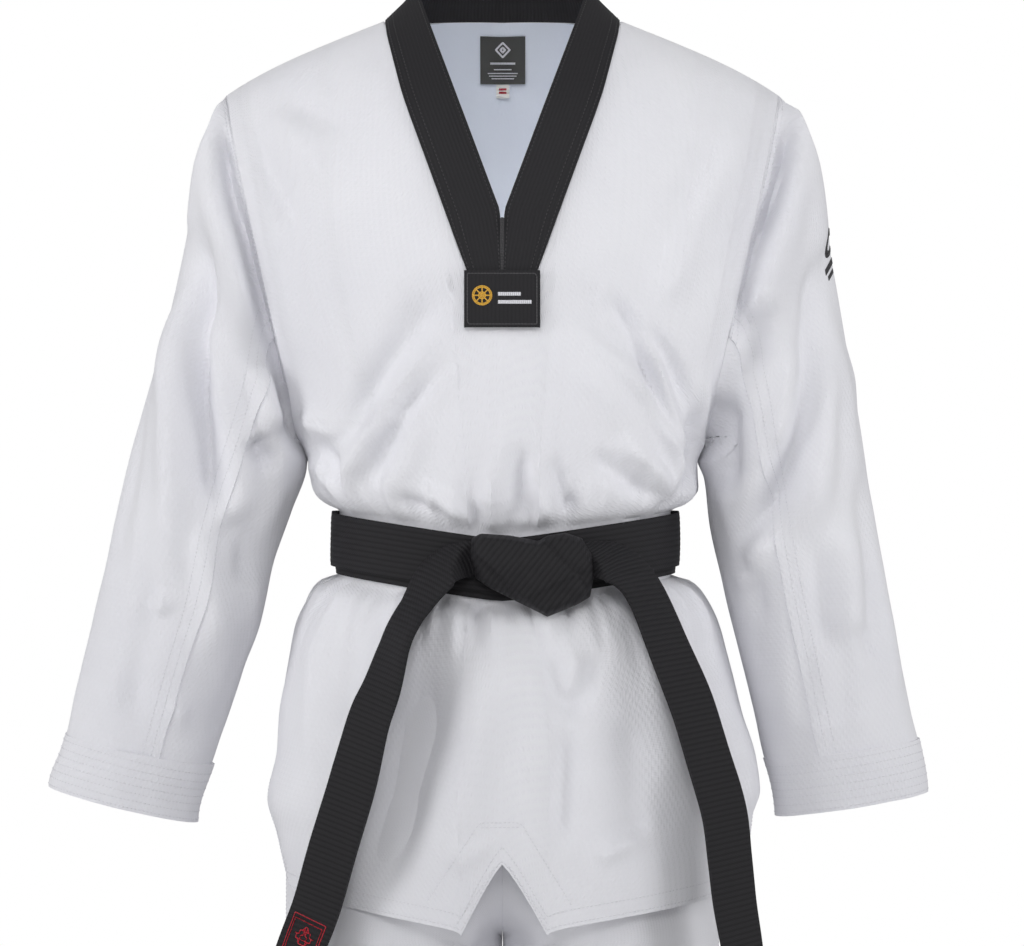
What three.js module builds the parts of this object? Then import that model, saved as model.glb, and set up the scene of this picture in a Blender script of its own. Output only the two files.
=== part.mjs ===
// Martial arts uniform: a V-neck pullover jacket with a tied belt, over drawstring trousers.
// Millimetres. +X is the wearer's left, the front faces -Y and +Z is up.
// The origin is the point between the shoulders where the wearer carries the jacket.
import * as THREE from "three";

const { lerp, clamp, smoothstep, degToRad } = THREE.MathUtils;

// Driving dimensions: cloth.
const CLOTH = 1.6; // wall of a cloth panel with its seam allowances
const SEAM = 0.5; // gap between two sewn neighbours
const NECK_SEAM = 1.2; // height of the sloping gap at the collar's sewn edge
const BAND = 2.6; // wall of a turned and stitched band
const TRIM = 0.9; // wall of a label, emblem or facing
const LAY = 0.4; // gap between a piece and the cloth it lies on
const UNDERLAY = 0.8; // gap between a facing or label and the inside of the curved cloth

// Driving dimensions: jacket.
const NECK_HALF = 91; // half width across the collar's sewn edge at the shoulders
const NECK_Z = 6;
const SHOULDER_HALF = 215; // half width across the shoulder seams
const SHOULDER_Z = -52;
const CHEST_HALF = 218;
const CHEST_FRONT = 112;
const CHEST_BACK = 102;
const ARMPIT_HALF = 152;
const ARMPIT_Z = -336;
const WAIST_HALF = 127;
const WAIST_FRONT = 95;
const WAIST_BACK = 85;
const WAIST_Z = -400; // waist line at the sides
const WAIST_DIP = 18; // how far the tied waist line drops at the front
const HIP_HALF = 194;
const HIP_FRONT = 126;
const HIP_BACK = 122;
const HEM_Z = -692; // hem at the middle of the front
const HEM_RISE = 26; // how far the hem rises towards the sides
const NOTCH_HALF = 35;
const NOTCH_HEIGHT = 53;
const VENT_APEX_Z = -598;
const VENT_HALF_ANGLE = 18; // degrees of the section that each half of a side vent takes
const SECTION_POWER = 2.3; // roundness of the body sections: 2 is an ellipse

// Driving dimensions: collar, tab and labels.
const COLLAR_END_HALF = 24.5; // half width of the two collar ends under the tab
const COLLAR_END_Z = -200;
const TAB_COVER = 5; // how far the tab covers the collar's ends
const COLLAR_POINT_Z = -154.5; // lowest point of the neck opening
const COLLAR_STAND = 37; // height of the band behind the neck
const BACK_NECK_Z = 12;
const TAB_WIDTH = 57;
const TAB_HEIGHT = 43;
const LABEL_SIZE = 36;
const SIZE_TAB = 10.5;

// Driving dimensions: sleeves.
const SLEEVE_DEPTH = 68; // half depth at the elbow
const CUFF_DEPTH = 43;
const CUFF_HEIGHT = 42;
const UNDERARM_HALF_ANGLE = 70; // degrees of the sleeve section on each side of the underarm panel

// Driving dimensions: belt.
const BELT_WIDTH = 41;
const BELT = 3.2; // thickness of one layer
const BELT_STAGGER = 6; // how far the inner turn shows below the outer one
const KNOT_DEPTH = 25;
const TAIL_WIDTH = 37;
const BELT_HOLD = BELT_WIDTH / 2 + BELT_STAGGER / 2 + 2.5; // half height over which the belt holds the cloth
const TAIL_CLEAR = 0.8; // gap between a tail and the cloth behind it

// Driving dimensions: trousers.
const TROUSER_HIP_HALF = 169;
const TROUSER_HIP_DEPTH = 104;
const WAISTBAND_HEIGHT = 38;
const WAISTBAND_HELD = 3; // how far the belt holds the cloth below the waistband's seam
const HELD_END = WAIST_Z - BELT_HOLD;
const RISE_TOP_Z = HELD_END + WAISTBAND_HELD + WAISTBAND_HEIGHT;
const CROTCH_Z = -705;
const CROTCH_CURVE = 115; // height over which the rise seam turns under
const LEG_HEM_Z = -1375;
const LEG_HEM_OUTER = 186;
const LEG_HEM_INNER = 16;
const LEG_HEM_DEPTH = 72;
const LEG_BAND = 40;
const EYELET_RADIUS = 5.5;
const EYELET_HOLE = 2.6;
const EYELET_SPACING = 36;

// The wearer's left is +X. Each arm rests at its own angle: cuff positions are for its outer and
// inner corner, measured out from the middle and up from the origin.
const SIDES = [
  { name: "left", sign: 1, cuffOuter: [HIP_HALF + 137, -595], cuffInner: [HIP_HALF + 19, -614] },
  { name: "right", sign: -1, cuffOuter: [HIP_HALF + 158, -591], cuffInner: [HIP_HALF + 45, -619] },
];

const COLOURS = {
  white: { color: "#dfe0e6", roughness: 0.82 },
  black: { color: "#2d2c2e", roughness: 0.72 },
  label: { color: "#3c3c3a", roughness: 0.6 },
  elastic: { color: "#ecece8", roughness: 0.9 },
  red: { color: "#b4202e", roughness: 0.6 },
  brass: { color: "#b8995a", roughness: 0.35, metalness: 0.9 },
};

const uniform = new THREE.Group();

function addPiece(name, geometry, finish) {
  const mesh = new THREE.Mesh(geometry, new THREE.MeshStandardMaterial(COLOURS[finish]));
  mesh.name = name;
  uniform.add(mesh);
}

// A value that follows a list of [place, value] pairs without overshooting between them.
function profile(pairs) {
  const sorted = [...pairs].sort((a, b) => a[0] - b[0]);
  const slope = (k) => (sorted[k + 1][1] - sorted[k][1]) / (sorted[k + 1][0] - sorted[k][0]);
  const tangent = (k) => {
    if (k === 0 || k === sorted.length - 1) return 0;
    const before = slope(k - 1);
    const after = slope(k);
    return before * after <= 0 ? 0 : (2 * before * after) / (before + after);
  };
  return (place) => {
    if (place <= sorted[0][0]) return sorted[0][1];
    if (place >= sorted.at(-1)[0]) return sorted.at(-1)[1];
    const k = sorted.findIndex((pair) => pair[0] > place) - 1;
    const width = sorted[k + 1][0] - sorted[k][0];
    const t = (place - sorted[k][0]) / width;
    const bend = (t * (1 - t) ** 2 * tangent(k) - t ** 2 * (1 - t) * tangent(k + 1)) * width;
    return lerp(sorted[k][1], sorted[k + 1][1], smoothstep(t, 0, 1)) + bend;
  };
}

// A value along straight lines between [place, value] pairs in rising order of place.
function polyline(pairs) {
  return (place) => {
    const k = clamp(pairs.findIndex((pair) => pair[0] >= place) - 1, 0, pairs.length - 2);
    const last = place > pairs.at(-1)[0] ? pairs.length - 2 : k;
    const t = (place - pairs[last][0]) / (pairs[last + 1][0] - pairs[last][0]);
    return lerp(pairs[last][1], pairs[last + 1][1], clamp(t, 0, 1));
  };
}

// A cloth piece as a closed solid: columns of outer points, and the same points set in by the wall.
// Columns run anticlockwise seen from above and rows run downwards, so the outer face looks out.
// keep moves a point of the inner face that would cross into a neighbour.
function clothSolid(outer, wall, { closed = false, keep = (point) => point } = {}) {
  const columns = outer.length;
  const rows = outer[0].length;
  const at = (grid, i, j) => grid[(i + columns) % columns][clamp(j, 0, rows - 1)];
  const beside = (i, step) => (closed ? i + step : clamp(i + step, 0, columns - 1));
  const inner = outer.map((column, i) =>
    column.map((point, j) => {
      const along = at(outer, i, j + 1).clone().sub(at(outer, i, j - 1));
      const across = at(outer, beside(i, 1), j).clone().sub(at(outer, beside(i, -1), j));
      return keep(point.clone().addScaledVector(along.cross(across).normalize(), -wall), j);
    }),
  );
  const positions = [];
  const face = (...corners) => corners.forEach((corner) => positions.push(...corner.toArray()));
  const wallBetween = (i, j, k, l) => {
    face(at(outer, k, l), at(outer, i, j), at(inner, i, j));
    face(at(outer, k, l), at(inner, i, j), at(inner, k, l));
  };
  const lastColumn = closed ? columns : columns - 1;
  for (let i = 0; i < lastColumn; i++) {
    for (let j = 0; j < rows - 1; j++) {
      face(at(outer, i, j), at(outer, i, j + 1), at(outer, i + 1, j + 1));
      face(at(outer, i, j), at(outer, i + 1, j + 1), at(outer, i + 1, j));
      face(at(inner, i, j), at(inner, i + 1, j + 1), at(inner, i, j + 1));
      face(at(inner, i, j), at(inner, i + 1, j), at(inner, i + 1, j + 1));
    }
    wallBetween(i + 1, 0, i, 0);
    wallBetween(i, rows - 1, i + 1, rows - 1);
  }
  if (!closed) {
    for (let j = 0; j < rows - 1; j++) {
      wallBetween(0, j, 0, j + 1);
      wallBetween(columns - 1, j + 1, columns - 1, j);
    }
  }
  const geometry = new THREE.BufferGeometry();
  geometry.setAttribute("position", new THREE.Float32BufferAttribute(positions, 3));
  geometry.computeVertexNormals();
  return geometry;
}

const steps = (from, to, count) =>
  Array.from({ length: count + 1 }, (_, k) => lerp(from, to, k / count));

// Body of the jacket. Angles are in degrees round the body: 0 is the middle of the front, 90 the
// wearer's left side and 180 the middle of the back.
const halfWidth = profile([
  [0, SHOULDER_HALF + 20],
  [-100, SHOULDER_HALF + 18],
  [-196, CHEST_HALF],
  [lerp(-196, ARMPIT_Z, 0.6), lerp(CHEST_HALF, ARMPIT_HALF, 0.55)],
  [ARMPIT_Z, ARMPIT_HALF],
  [WAIST_Z + BELT_HOLD + 18, lerp(WAIST_HALF, ARMPIT_HALF, 0.64)],
  [WAIST_Z + BELT_HOLD + 8, lerp(WAIST_HALF, ARMPIT_HALF, 0.28)],
  [WAIST_Z + BELT_HOLD, WAIST_HALF],
  [WAIST_Z - BELT_HOLD, WAIST_HALF],
  [WAIST_Z - BELT_HOLD - 15, lerp(WAIST_HALF, HIP_HALF, 0.28)],
  [WAIST_Z - BELT_HOLD - 40, lerp(WAIST_HALF, HIP_HALF, 0.57)],
  [WAIST_Z - BELT_HOLD - 74, lerp(WAIST_HALF, HIP_HALF, 0.74)],
  [WAIST_Z - BELT_HOLD - 114, lerp(WAIST_HALF, HIP_HALF, 0.85)],
  [HEM_Z, HIP_HALF],
]);

function depthProfile(chest, waist, hip) {
  return profile([
    [0, chest * 0.86],
    [-100, chest * 0.9],
    [-196, chest * 0.98],
    [lerp(-196, ARMPIT_Z, 0.7), chest],
    [WAIST_Z + BELT_HOLD + 29, lerp(waist, chest, 0.85)],
    [WAIST_Z + BELT_HOLD + 10, lerp(waist, chest, 0.4)],
    [WAIST_Z + BELT_HOLD, waist],
    [WAIST_Z - BELT_HOLD, waist],
    [WAIST_Z - BELT_HOLD - 18, lerp(waist, hip, 0.35)],
    [WAIST_Z - BELT_HOLD - 74, lerp(waist, hip, 0.76)],
    [HEM_Z, hip],
  ]);
}

const frontDepth = depthProfile(CHEST_FRONT, WAIST_FRONT, HIP_FRONT);
const backDepth = depthProfile(CHEST_BACK, WAIST_BACK, HIP_BACK);

const power = (value) => Math.sign(value) * Math.abs(value) ** (2 / SECTION_POWER);
const angleOf = (x, half) => {
  const share = clamp(Math.abs(x) / half, 0, 1) ** (SECTION_POWER / 2);
  return (Math.sign(x) * Math.asin(share) * 180) / Math.PI;
};

// Height of the shoulder ridge, where front and back meet; inside the neck it is the ridge's line.
function ridgeZ(x) {
  const out = (Math.abs(x) - NECK_HALF) / (SHOULDER_HALF - NECK_HALF);
  if (out < 0) return NECK_Z - 0.44 * out * (SHOULDER_HALF - NECK_HALF);
  return lerp(NECK_Z, SHOULDER_Z, 0.85 * out + 0.15 * out ** 4);
}

// How far the cloth has come round from the shoulder ridge, from 0 on it to 1 on the flat chest.
function shoulderRound(x, z) {
  const reach = lerp(150, 90, clamp(Math.abs(x) / SHOULDER_HALF, 0, 1));
  const below = clamp((ridgeZ(x) - z) / reach, 0, 1);
  return Math.sqrt(1 - (1 - below) ** 2);
}

const waistDip = (angle) => -WAIST_DIP * Math.max(0, Math.cos(degToRad(angle))) ** 2;
const waistShift = (angle, z) =>
  waistDip(angle) * (1 - smoothstep(Math.abs(z - WAIST_Z), 60, 140));

// A point of the body's outer face; the waist's shape is lower at the front by the dip.
function bodyPoint(angle, z, lift = 0) {
  const level = z - waistShift(angle, z);
  const cosine = Math.cos(degToRad(angle));
  const depth = cosine >= 0 ? frontDepth(level) : backDepth(level);
  const x = (halfWidth(level) + lift) * power(Math.sin(degToRad(angle)));
  return new THREE.Vector3(x, -(depth * shoulderRound(x, z) + lift) * power(cosine), z);
}

// The armhole is cut in a plane through the shoulder point and the armpit, parallel to Y.
const armholeX = (z) =>
  lerp(SHOULDER_HALF, ARMPIT_HALF, clamp((SHOULDER_Z - z) / (SHOULDER_Z - ARMPIT_Z), 0, 1));
const armholeAngle = (z) => (z > ARMPIT_Z ? angleOf(armholeX(z), halfWidth(z)) : 90);

// Columns past this angle are drawn in towards the armhole where there is one.
const FREE_ANGLE = 30;
function columnAngle(nominal, z) {
  const size = Math.abs(nominal);
  if (size <= FREE_ANGLE) return nominal;
  const share = (size - FREE_ANGLE) / (90 - FREE_ANGLE);
  return Math.sign(nominal) * lerp(FREE_ANGLE, armholeAngle(z), share);
}

// The collar's sewn edge on the front, as [half width, height], and on the back.
const NECK_EDGE = [
  [COLLAR_END_HALF, COLLAR_END_Z],
  [lerp(COLLAR_END_HALF, NECK_HALF, 0.17), lerp(COLLAR_END_Z, NECK_Z, 0.148)],
  [lerp(COLLAR_END_HALF, NECK_HALF, 0.76), lerp(COLLAR_END_Z, NECK_Z, 0.672)],
  [lerp(COLLAR_END_HALF, NECK_HALF, 0.962), lerp(COLLAR_END_Z, NECK_Z, 0.92)],
  [NECK_HALF, NECK_Z],
];
const neckEdgeZ = polyline(NECK_EDGE);
const backNeckZ = (x) => lerp(BACK_NECK_Z, NECK_Z, clamp(Math.abs(x) / NECK_HALF, 0, 1) ** 2);
const BACK_NECK_SHARES = [0.2, 0.42, 0.64, 0.84, 1];

const NOTCH_ANGLE = angleOf(NOTCH_HALF, HIP_HALF);
const VENT_ANGLE = 90 - VENT_HALF_ANGLE;

// Height of the hem by the angle from the middle of the front or back.
function hemZ(fromMiddle) {
  const angle = Math.abs(fromMiddle);
  const rise = (at) => HEM_RISE * clamp((at - NOTCH_ANGLE) / (VENT_ANGLE - NOTCH_ANGLE), 0, 1) ** 0.6;
  if (angle < NOTCH_ANGLE) return HEM_Z + NOTCH_HEIGHT * (1 - angle / NOTCH_ANGLE);
  if (angle < VENT_ANGLE) return HEM_Z + rise(angle);
  return lerp(HEM_Z + HEM_RISE, VENT_APEX_Z, (angle - VENT_ANGLE) / VENT_HALF_ANGLE);
}

// The height at which a column, given by its angle, meets an edge given as a height by x.
function meetEdge(angleAt, edge) {
  let z = -30;
  for (let k = 0; k < 60; k++) z = lerp(z, edge(bodyPoint(angleAt(z), z).x), 0.4);
  return z;
}

const neckAngles = NECK_EDGE.map(([x, z]) => angleOf(x, halfWidth(z)));
const backNeckAngles = BACK_NECK_SHARES.map((share) => angleOf(share * NECK_HALF, halfWidth(0)));
const sideAngles = [24, FREE_ANGLE, 39, 48, 57, 65, VENT_ANGLE, 78, 84, 90];
const mirrored = (angles) => [...angles.map((angle) => -angle).reverse(), 0, ...angles];
const rising = (angles) => [...angles].sort((a, b) => a - b);

// One body panel: turn is 0 for the front and 180 for the back.
function bodyPanel(angles, turn, edge) {
  const middle = VENT_APEX_Z + 18;
  const held = [BELT_HOLD + 14, BELT_HOLD - 2, 0, 1 - BELT_HOLD, -BELT_HOLD - 15, -BELT_HOLD - 38];
  const levels = [-300, ARMPIT_Z, ...held.map((z) => WAIST_Z + z), -500, -545, middle];
  return angles.map((nominal) => {
    const angleAt = (z) => (turn === 0 ? 1 : -1) * columnAngle(nominal, z) + turn;
    const top = meetEdge(angleAt, edge);
    const upper = [0, 0.035, 0.08, 0.14, 0.24, 0.44, 0.7].map((t) => lerp(top, levels[0], t));
    const waisted = levels.map((z) => z + waistShift(nominal + turn, z));
    const lower = [1 / 3, 2 / 3, 1].map((t) => lerp(waisted.at(-1), hemZ(nominal), t));
    const column = [...upper, ...waisted, ...lower].map((z) => bodyPoint(angleAt(z), z));
    const halfGap = (turn === 0 ? -SEAM : SEAM) / 2;
    return column.map((point) => point.add(new THREE.Vector3(0, halfGap, 0)));
  });
}

// The front stays in front of the shoulder and side seams, and the back behind them.
function keepSide(sign) {
  return (point) => {
    point.y = sign * Math.max(sign * point.y, SEAM / 2);
    return point;
  };
}

const frontAngles = rising(mirrored([...neckAngles, NOTCH_ANGLE, ...sideAngles]));
const backAngles = rising(mirrored([...backNeckAngles, ...sideAngles.slice(1)]));
const frontEdge = (x) =>
  Math.abs(x) < NECK_HALF ? neckEdgeZ(Math.max(Math.abs(x), COLLAR_END_HALF)) - NECK_SEAM : ridgeZ(x);
const backEdge = (x) => (Math.abs(x) < NECK_HALF ? backNeckZ(x) - SEAM : ridgeZ(x));
const frontGrid = bodyPanel(frontAngles, 0, frontEdge);
const backGrid = bodyPanel(backAngles.reverse(), 180, backEdge);

addPiece("jacket_front", clothSolid(frontGrid, CLOTH, { keep: keepSide(-1) }), "white");
addPiece("jacket_back", clothSolid(backGrid, CLOTH, { keep: keepSide(1) }), "white");

// A point above or below a body point that lies off the cloth by lift, at a given x and height.
function onBody(x, z, lift, back = false) {
  const angle = angleOf(x, halfWidth(z) + lift);
  return bodyPoint(back ? 180 - angle : angle, z, lift);
}

// A flat piece laid on the body: rows of [height, half width or [left, right]] give its outline.
function laidOnBody(rows, across, lift, wall, back = false) {
  const columns = back ? steps(1, 0, across) : steps(0, 1, across);
  const grid = columns.map((t) =>
    rows.map(([z, span]) => {
      const [from, to] = Array.isArray(span) ? span : [-span, span];
      return onBody(lerp(from, to, t), z, lift, back);
    }),
  );
  return clothSolid(grid, wall);
}

// Collar: the band is sewn at its outer edge and stands up behind the neck.
const COLLAR_LIFT = BAND - CLOTH;
const frontNeckRows = NECK_EDGE.map(([x, z], k) => {
  const share = k / (NECK_EDGE.length - 1);
  const inner = Math.max(SEAM / 2, NECK_HALF * 0.66 * ((z - COLLAR_POINT_Z) / (NECK_Z - COLLAR_POINT_Z)));
  return { share, outer: [x - SEAM * 0.8, z], inner: [inner, z + 2 * share] };
});

// One half of the front band, from its end under the tab up to the shoulder.
function frontBand(sign) {
  const rows = [...frontNeckRows].reverse();
  const columns = [0, 1 / 3, 2 / 3, 1].map((t) =>
    rows.map(({ share, outer, inner }) => {
      const edge = onBody(sign * outer[0], outer[1], COLLAR_LIFT);
      const roll = share ** 3;
      const free = onBody(sign * inner[0], inner[1], COLLAR_LIFT);
      free.lerp(new THREE.Vector3(sign * NECK_HALF * 0.73, -SEAM / 2, NECK_Z + 26), roll);
      edge.y = lerp(edge.y, -SEAM / 2, share === 1 ? 1 : 0);
      return edge.lerp(free, t);
    }),
  );
  return clothSolid(sign > 0 ? columns.reverse() : columns, BAND, { keep: keepSide(-1) });
}

// The band behind the neck, standing on the back neck edge from shoulder to shoulder.
function backBand() {
  const shares = mirrored(BACK_NECK_SHARES);
  const columns = rising(shares).reverse().map((t) => {
    const x = t * (NECK_HALF - SEAM);
    const foot = onBody(x, backNeckZ(x), COLLAR_LIFT, true);
    foot.y = Math.max(foot.y, SEAM / 2);
    foot.z = backNeckZ(x) + COLLAR_LIFT + 2 * SEAM * Math.abs(t);
    const lean = lerp(0.86, 0.73, Math.abs(t) ** 2);
    const rise = lerp(COLLAR_STAND, 26, Math.abs(t) ** 2);
    const top = new THREE.Vector3(x * lean, lerp(foot.y - 6, SEAM / 2, Math.abs(t) ** 4), foot.z + rise);
    return [1, 0.5, 0].map((share) => foot.clone().lerp(top, share));
  });
  return clothSolid(columns, BAND, { keep: keepSide(1) });
}

addPiece("collar_left", frontBand(1), "black");
addPiece("collar_right", frontBand(-1), "black");
addPiece("collar_back", backBand(), "black");

const tabLift = COLLAR_LIFT + LAY + BAND;
const tabTop = COLLAR_END_Z + TAB_COVER;
const tabRows = steps(0, 1, 3).map((t) => [tabTop - t * TAB_HEIGHT, TAB_WIDTH / 2]);
addPiece("chest_tab", laidOnBody(tabRows, 6, tabLift, BAND), "black");

const labelTop = BACK_NECK_Z - 12;
const labelLift = -CLOTH - UNDERLAY;
const labelRows = steps(0, 1, 3).map((t) => [labelTop - t * LABEL_SIZE, LABEL_SIZE / 2]);
addPiece("neck_label", laidOnBody(labelRows, 4, labelLift, TRIM, true), "label");
const sizeRows = [0, 1].map((t) => [labelTop - LABEL_SIZE - LAY - t * SIZE_TAB, SIZE_TAB / 2]);
addPiece("size_tab", laidOnBody(sizeRows, 1, labelLift, TRIM, true), "white");

// Notch facings: the reinforcement sewn inside the cloth round the notch in the hem.
function notchFacing(turn) {
  const top = 22;
  const foot = 51;
  const angles = rising(mirrored([top / 2, top, NOTCH_HALF, foot].map((x) => angleOf(x, HIP_HALF))));
  const columns = angles.map((angle) => {
    const x = Math.abs(bodyPoint(angle, HEM_Z).x);
    const upper = HEM_Z + lerp(86, 24, clamp((x - top) / (foot - top), 0, 1));
    return steps(upper, hemZ(angle) + 2, 3).map((z) =>
      bodyPoint(turn === 0 ? angle : 180 + angle, z, -CLOTH - UNDERLAY),
    );
  });
  return clothSolid(columns, TRIM);
}

// A side vent's facing, round the vent's apex inside the front and back cloth.
function ventFacing(sign) {
  const spread = [-27, -VENT_HALF_ANGLE, -9, 0, 9, VENT_HALF_ANGLE, 27];
  const columns = spread.map((away) => {
    const lower = hemZ(90 - Math.abs(away)) + 2;
    const upper = lerp(VENT_APEX_Z + 30, HEM_Z + HEM_RISE + 26, Math.abs(away) / 27);
    return steps(upper, lower, 3).map((z) => bodyPoint(sign * 90 + away, z, -CLOTH - UNDERLAY));
  });
  return clothSolid(columns, TRIM);
}

addPiece("front_notch_facing", notchFacing(0), "white");
addPiece("back_notch_facing", notchFacing(180), "white");
addPiece("left_vent_facing", ventFacing(1), "white");
addPiece("right_vent_facing", ventFacing(-1), "white");

// Sleeves: rings between an outer and an inner line, from the armhole down to the cuff.
const EMBLEM_SHARE = 0.27; // where down the sleeve its emblem starts
const elbowBow = profile([
  [0, 0],
  [0.16, 12],
  [0.34, 7],
  [0.7, 4],
  [1, 0],
]);

function sleeveRing(side, share) {
  const [outerX, outerZ] = side.cuffOuter;
  const [innerX, innerZ] = side.cuffInner;
  const followed = share ** 2.2;
  const shoulder = new THREE.Vector2(SHOULDER_HALF, SHOULDER_Z);
  const armpit = new THREE.Vector2(ARMPIT_HALF, ARMPIT_Z);
  const outer = shoulder.lerp(new THREE.Vector2(outerX, outerZ), share);
  outer.x += elbowBow(share);
  const inner = armpit.lerp(new THREE.Vector2(innerX, innerZ), followed);
  const upperDepth = lerp(SLEEVE_DEPTH + 8, SLEEVE_DEPTH, share * 2);
  const depth = lerp(upperDepth, CUFF_DEPTH, clamp(share * 2 - 1, 0, 1));
  return { outer, inner, depth };
}

// A point of the sleeve: angle 0 is its outer line, 90 its back and 180 the underarm line.
function sleevePoint(side, share, angle, lift = 0) {
  const { outer, inner, depth } = sleeveRing(side, share);
  const middle = outer.clone().lerp(inner, 0.5);
  const half = outer.distanceTo(inner) / 2;
  const along = outer.clone().sub(inner).normalize();
  const cosine = Math.cos(degToRad(angle));
  const sine = Math.sin(degToRad(angle));
  const flat = middle.addScaledVector(along, (half + lift) * cosine);
  const seat = bodyPoint(sine < 0 ? armholeAngle(flat.y) : 180 - armholeAngle(flat.y), flat.y).y;
  const round = (depth + lift) * Math.sign(sine) * Math.abs(sine) ** 0.9;
  const y = lerp(seat, round, smoothstep(share, 0, 0.25));
  const clear = SEAM * 1.2;
  return new THREE.Vector3(side.sign * (flat.x + clear), y, flat.y);
}

// The sleeve's inner face stays on its own side of the armhole.
function keepOut(side) {
  return (point) => {
    const edge = armholeX(point.z) + SEAM / 2;
    point.x = side.sign * Math.max(side.sign * point.x, edge);
    return point;
  };
}

function sleeveGrid(side, shares, angles, lift = 0) {
  const grid = angles.map((angle) => shares.map((share) => sleevePoint(side, share, angle, lift)));
  return side.sign > 0 ? grid : grid.reverse();
}

for (const side of SIDES) {
  const length = sleeveRing(side, 0).outer.distanceTo(sleeveRing(side, 1).outer);
  const cuffShare = 1 - CUFF_HEIGHT / length;
  const seamShare = SEAM / length;
  const upperRows = [0, 0.05, 0.11, 0.18, EMBLEM_SHARE, EMBLEM_SHARE + 0.08];
  const body = [...upperRows, 0.5, 0.64, 0.78, cuffShare - seamShare];
  const under = 180 - UNDERARM_HALF_ANGLE;
  const upperAngles = steps(-under + 0.3, under - 0.3, 12);
  const underAngles = steps(under + 0.3, 360 - under - 0.3, 8);
  const ring = steps(0, 345, 23);
  const keep = keepOut(side);
  const upper = clothSolid(sleeveGrid(side, body, upperAngles), CLOTH, { keep });
  const underarm = clothSolid(sleeveGrid(side, body, underAngles), CLOTH, { keep });
  addPiece(`${side.name}_sleeve`, upper, "white");
  addPiece(`${side.name}_underarm_panel`, underarm, "white");
  const cuff = clothSolid(sleeveGrid(side, [cuffShare, 1], ring), BAND, { closed: true });
  addPiece(`${side.name}_cuff_band`, cuff, "white");
}

const emblemShares = steps(EMBLEM_SHARE + 0.003, EMBLEM_SHARE + 0.075, 3);
const emblem = sleeveGrid(SIDES[0], emblemShares, steps(-6, 22, 4), UNDERLAY + TRIM + 0.1);
addPiece("sleeve_emblem", clothSolid(emblem, TRIM), "black");

// Belt: two turns round the waist, the inner one showing a little below the outer one.
function beltPoint(angle, height, lift) {
  const cosine = Math.cos(degToRad(angle));
  const depth = (cosine >= 0 ? WAIST_FRONT : WAIST_BACK) + lift;
  const x = (WAIST_HALF + lift) * power(Math.sin(degToRad(angle)));
  return new THREE.Vector3(x, -depth * power(cosine), WAIST_Z + height + waistDip(angle));
}

function beltTurn(middle, lift) {
  const angles = steps(0, 354, 59);
  const heights = [middle + BELT_WIDTH / 2, middle - BELT_WIDTH / 2];
  const grid = angles.map((angle) => heights.map((z) => beltPoint(angle, z, lift)));
  return clothSolid(grid, BELT, { closed: true });
}

const innerTurn = LAY + BELT;
const outerTurn = innerTurn + LAY + BELT;
addPiece("belt_inner_turn", beltTurn(-BELT_STAGGER / 2, innerTurn), "black");
addPiece("belt_outer_turn", beltTurn(BELT_STAGGER / 2, outerTurn), "black");

// The knot sits a little to the wearer's left of the middle.
const KNOT_OUTLINE = [
  [-21, 3],
  [8, -2],
  [30, 0],
  [50, 6],
  [67, -2],
  [68, -32],
  [64, -50],
  [35, -60],
  [0, -46],
  [-20, -32],
];
const knotTop = WAIST_Z - WAIST_DIP + BELT_WIDTH / 2;
const knotBack = -(WAIST_FRONT + outerTurn + LAY);

function knotSolid() {
  const bevel = 5;
  const outline = KNOT_OUTLINE.map(([x, z]) => new THREE.Vector2(x, knotTop + z));
  const geometry = new THREE.ExtrudeGeometry(new THREE.Shape(outline), {
    depth: KNOT_DEPTH - 2 * bevel,
    bevelThickness: bevel,
    bevelSize: bevel,
    bevelOffset: -bevel,
    bevelSegments: 2,
  });
  return geometry.rotateX(Math.PI / 2).translate(0, knotBack - bevel, 0);
}

addPiece("belt_knot", knotSolid(), "black");

// Tails: straps from the knot over the belt and down the skirt, as middle points [x, height].
const TAILS = {
  right: [[-22.6, -411], [-34, -411], [-50, -423], [-61, -440], [-78, -467], [-91, -506], [-101, -533],
    [-113, -580], [-126, -623], [-139, -669], [-151, -701], [-164, -741]],
  left: [[69.5, -409], [82, -409], [98, -420], [111, -442], [128, -480], [142, -517], [154, -555],
    [167, -600], [172, -637], [176, -671], [181, -701], [186, -733]],
};

// The tails are stiff, so past this half width they turn back less than the body does.
const TAIL_FREE = 80;

// The front of whatever the tail hangs over: the belt, or the skirt below it.
function tailRest(x, z) {
  const reach = Math.abs(x);
  const held = Math.sign(x) * (reach < TAIL_FREE ? reach : lerp(TAIL_FREE, reach, 0.55));
  const onBelt = beltPoint(angleOf(held, WAIST_HALF + outerTurn), 0, outerTurn).y;
  const skirt = onBody(held, Math.max(z, HEM_Z), 0).y;
  return z > WAIST_Z - WAIST_DIP ? onBelt : Math.min(onBelt, skirt);
}

function tailSolid(points, lift = 0, from = 0, to = 1, width = TAIL_WIDTH, wall = BELT) {
  const route = new THREE.CatmullRomCurve3(points.map(([x, z]) => new THREE.Vector3(x, 0, z)));
  const rows = steps(from, to, Math.ceil(24 * (to - from))).map((t) => {
    const middle = route.getPointAt(t);
    const along = route.getTangentAt(t);
    const across = new THREE.Vector3(-along.z, 0, along.x).multiplyScalar(width);
    return steps(-0.5, 0.5, 4).map((share) => {
      const point = middle.clone().addScaledVector(across, share);
      point.y = tailRest(point.x, point.z) - TAIL_CLEAR - BELT - lift;
      return point;
    });
  });
  return clothSolid(steps(0, 4, 4).map((k) => rows.map((row) => row[k])), wall);
}

addPiece("belt_tail_left", tailSolid(TAILS.left), "black");
addPiece("belt_tail_right", tailSolid(TAILS.right), "black");
const endBox = tailSolid(TAILS.right, UNDERLAY + TRIM, 0.845, 0.955, TAIL_WIDTH - 6, TRIM);
addPiece("belt_end_box", endBox, "red");

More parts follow.
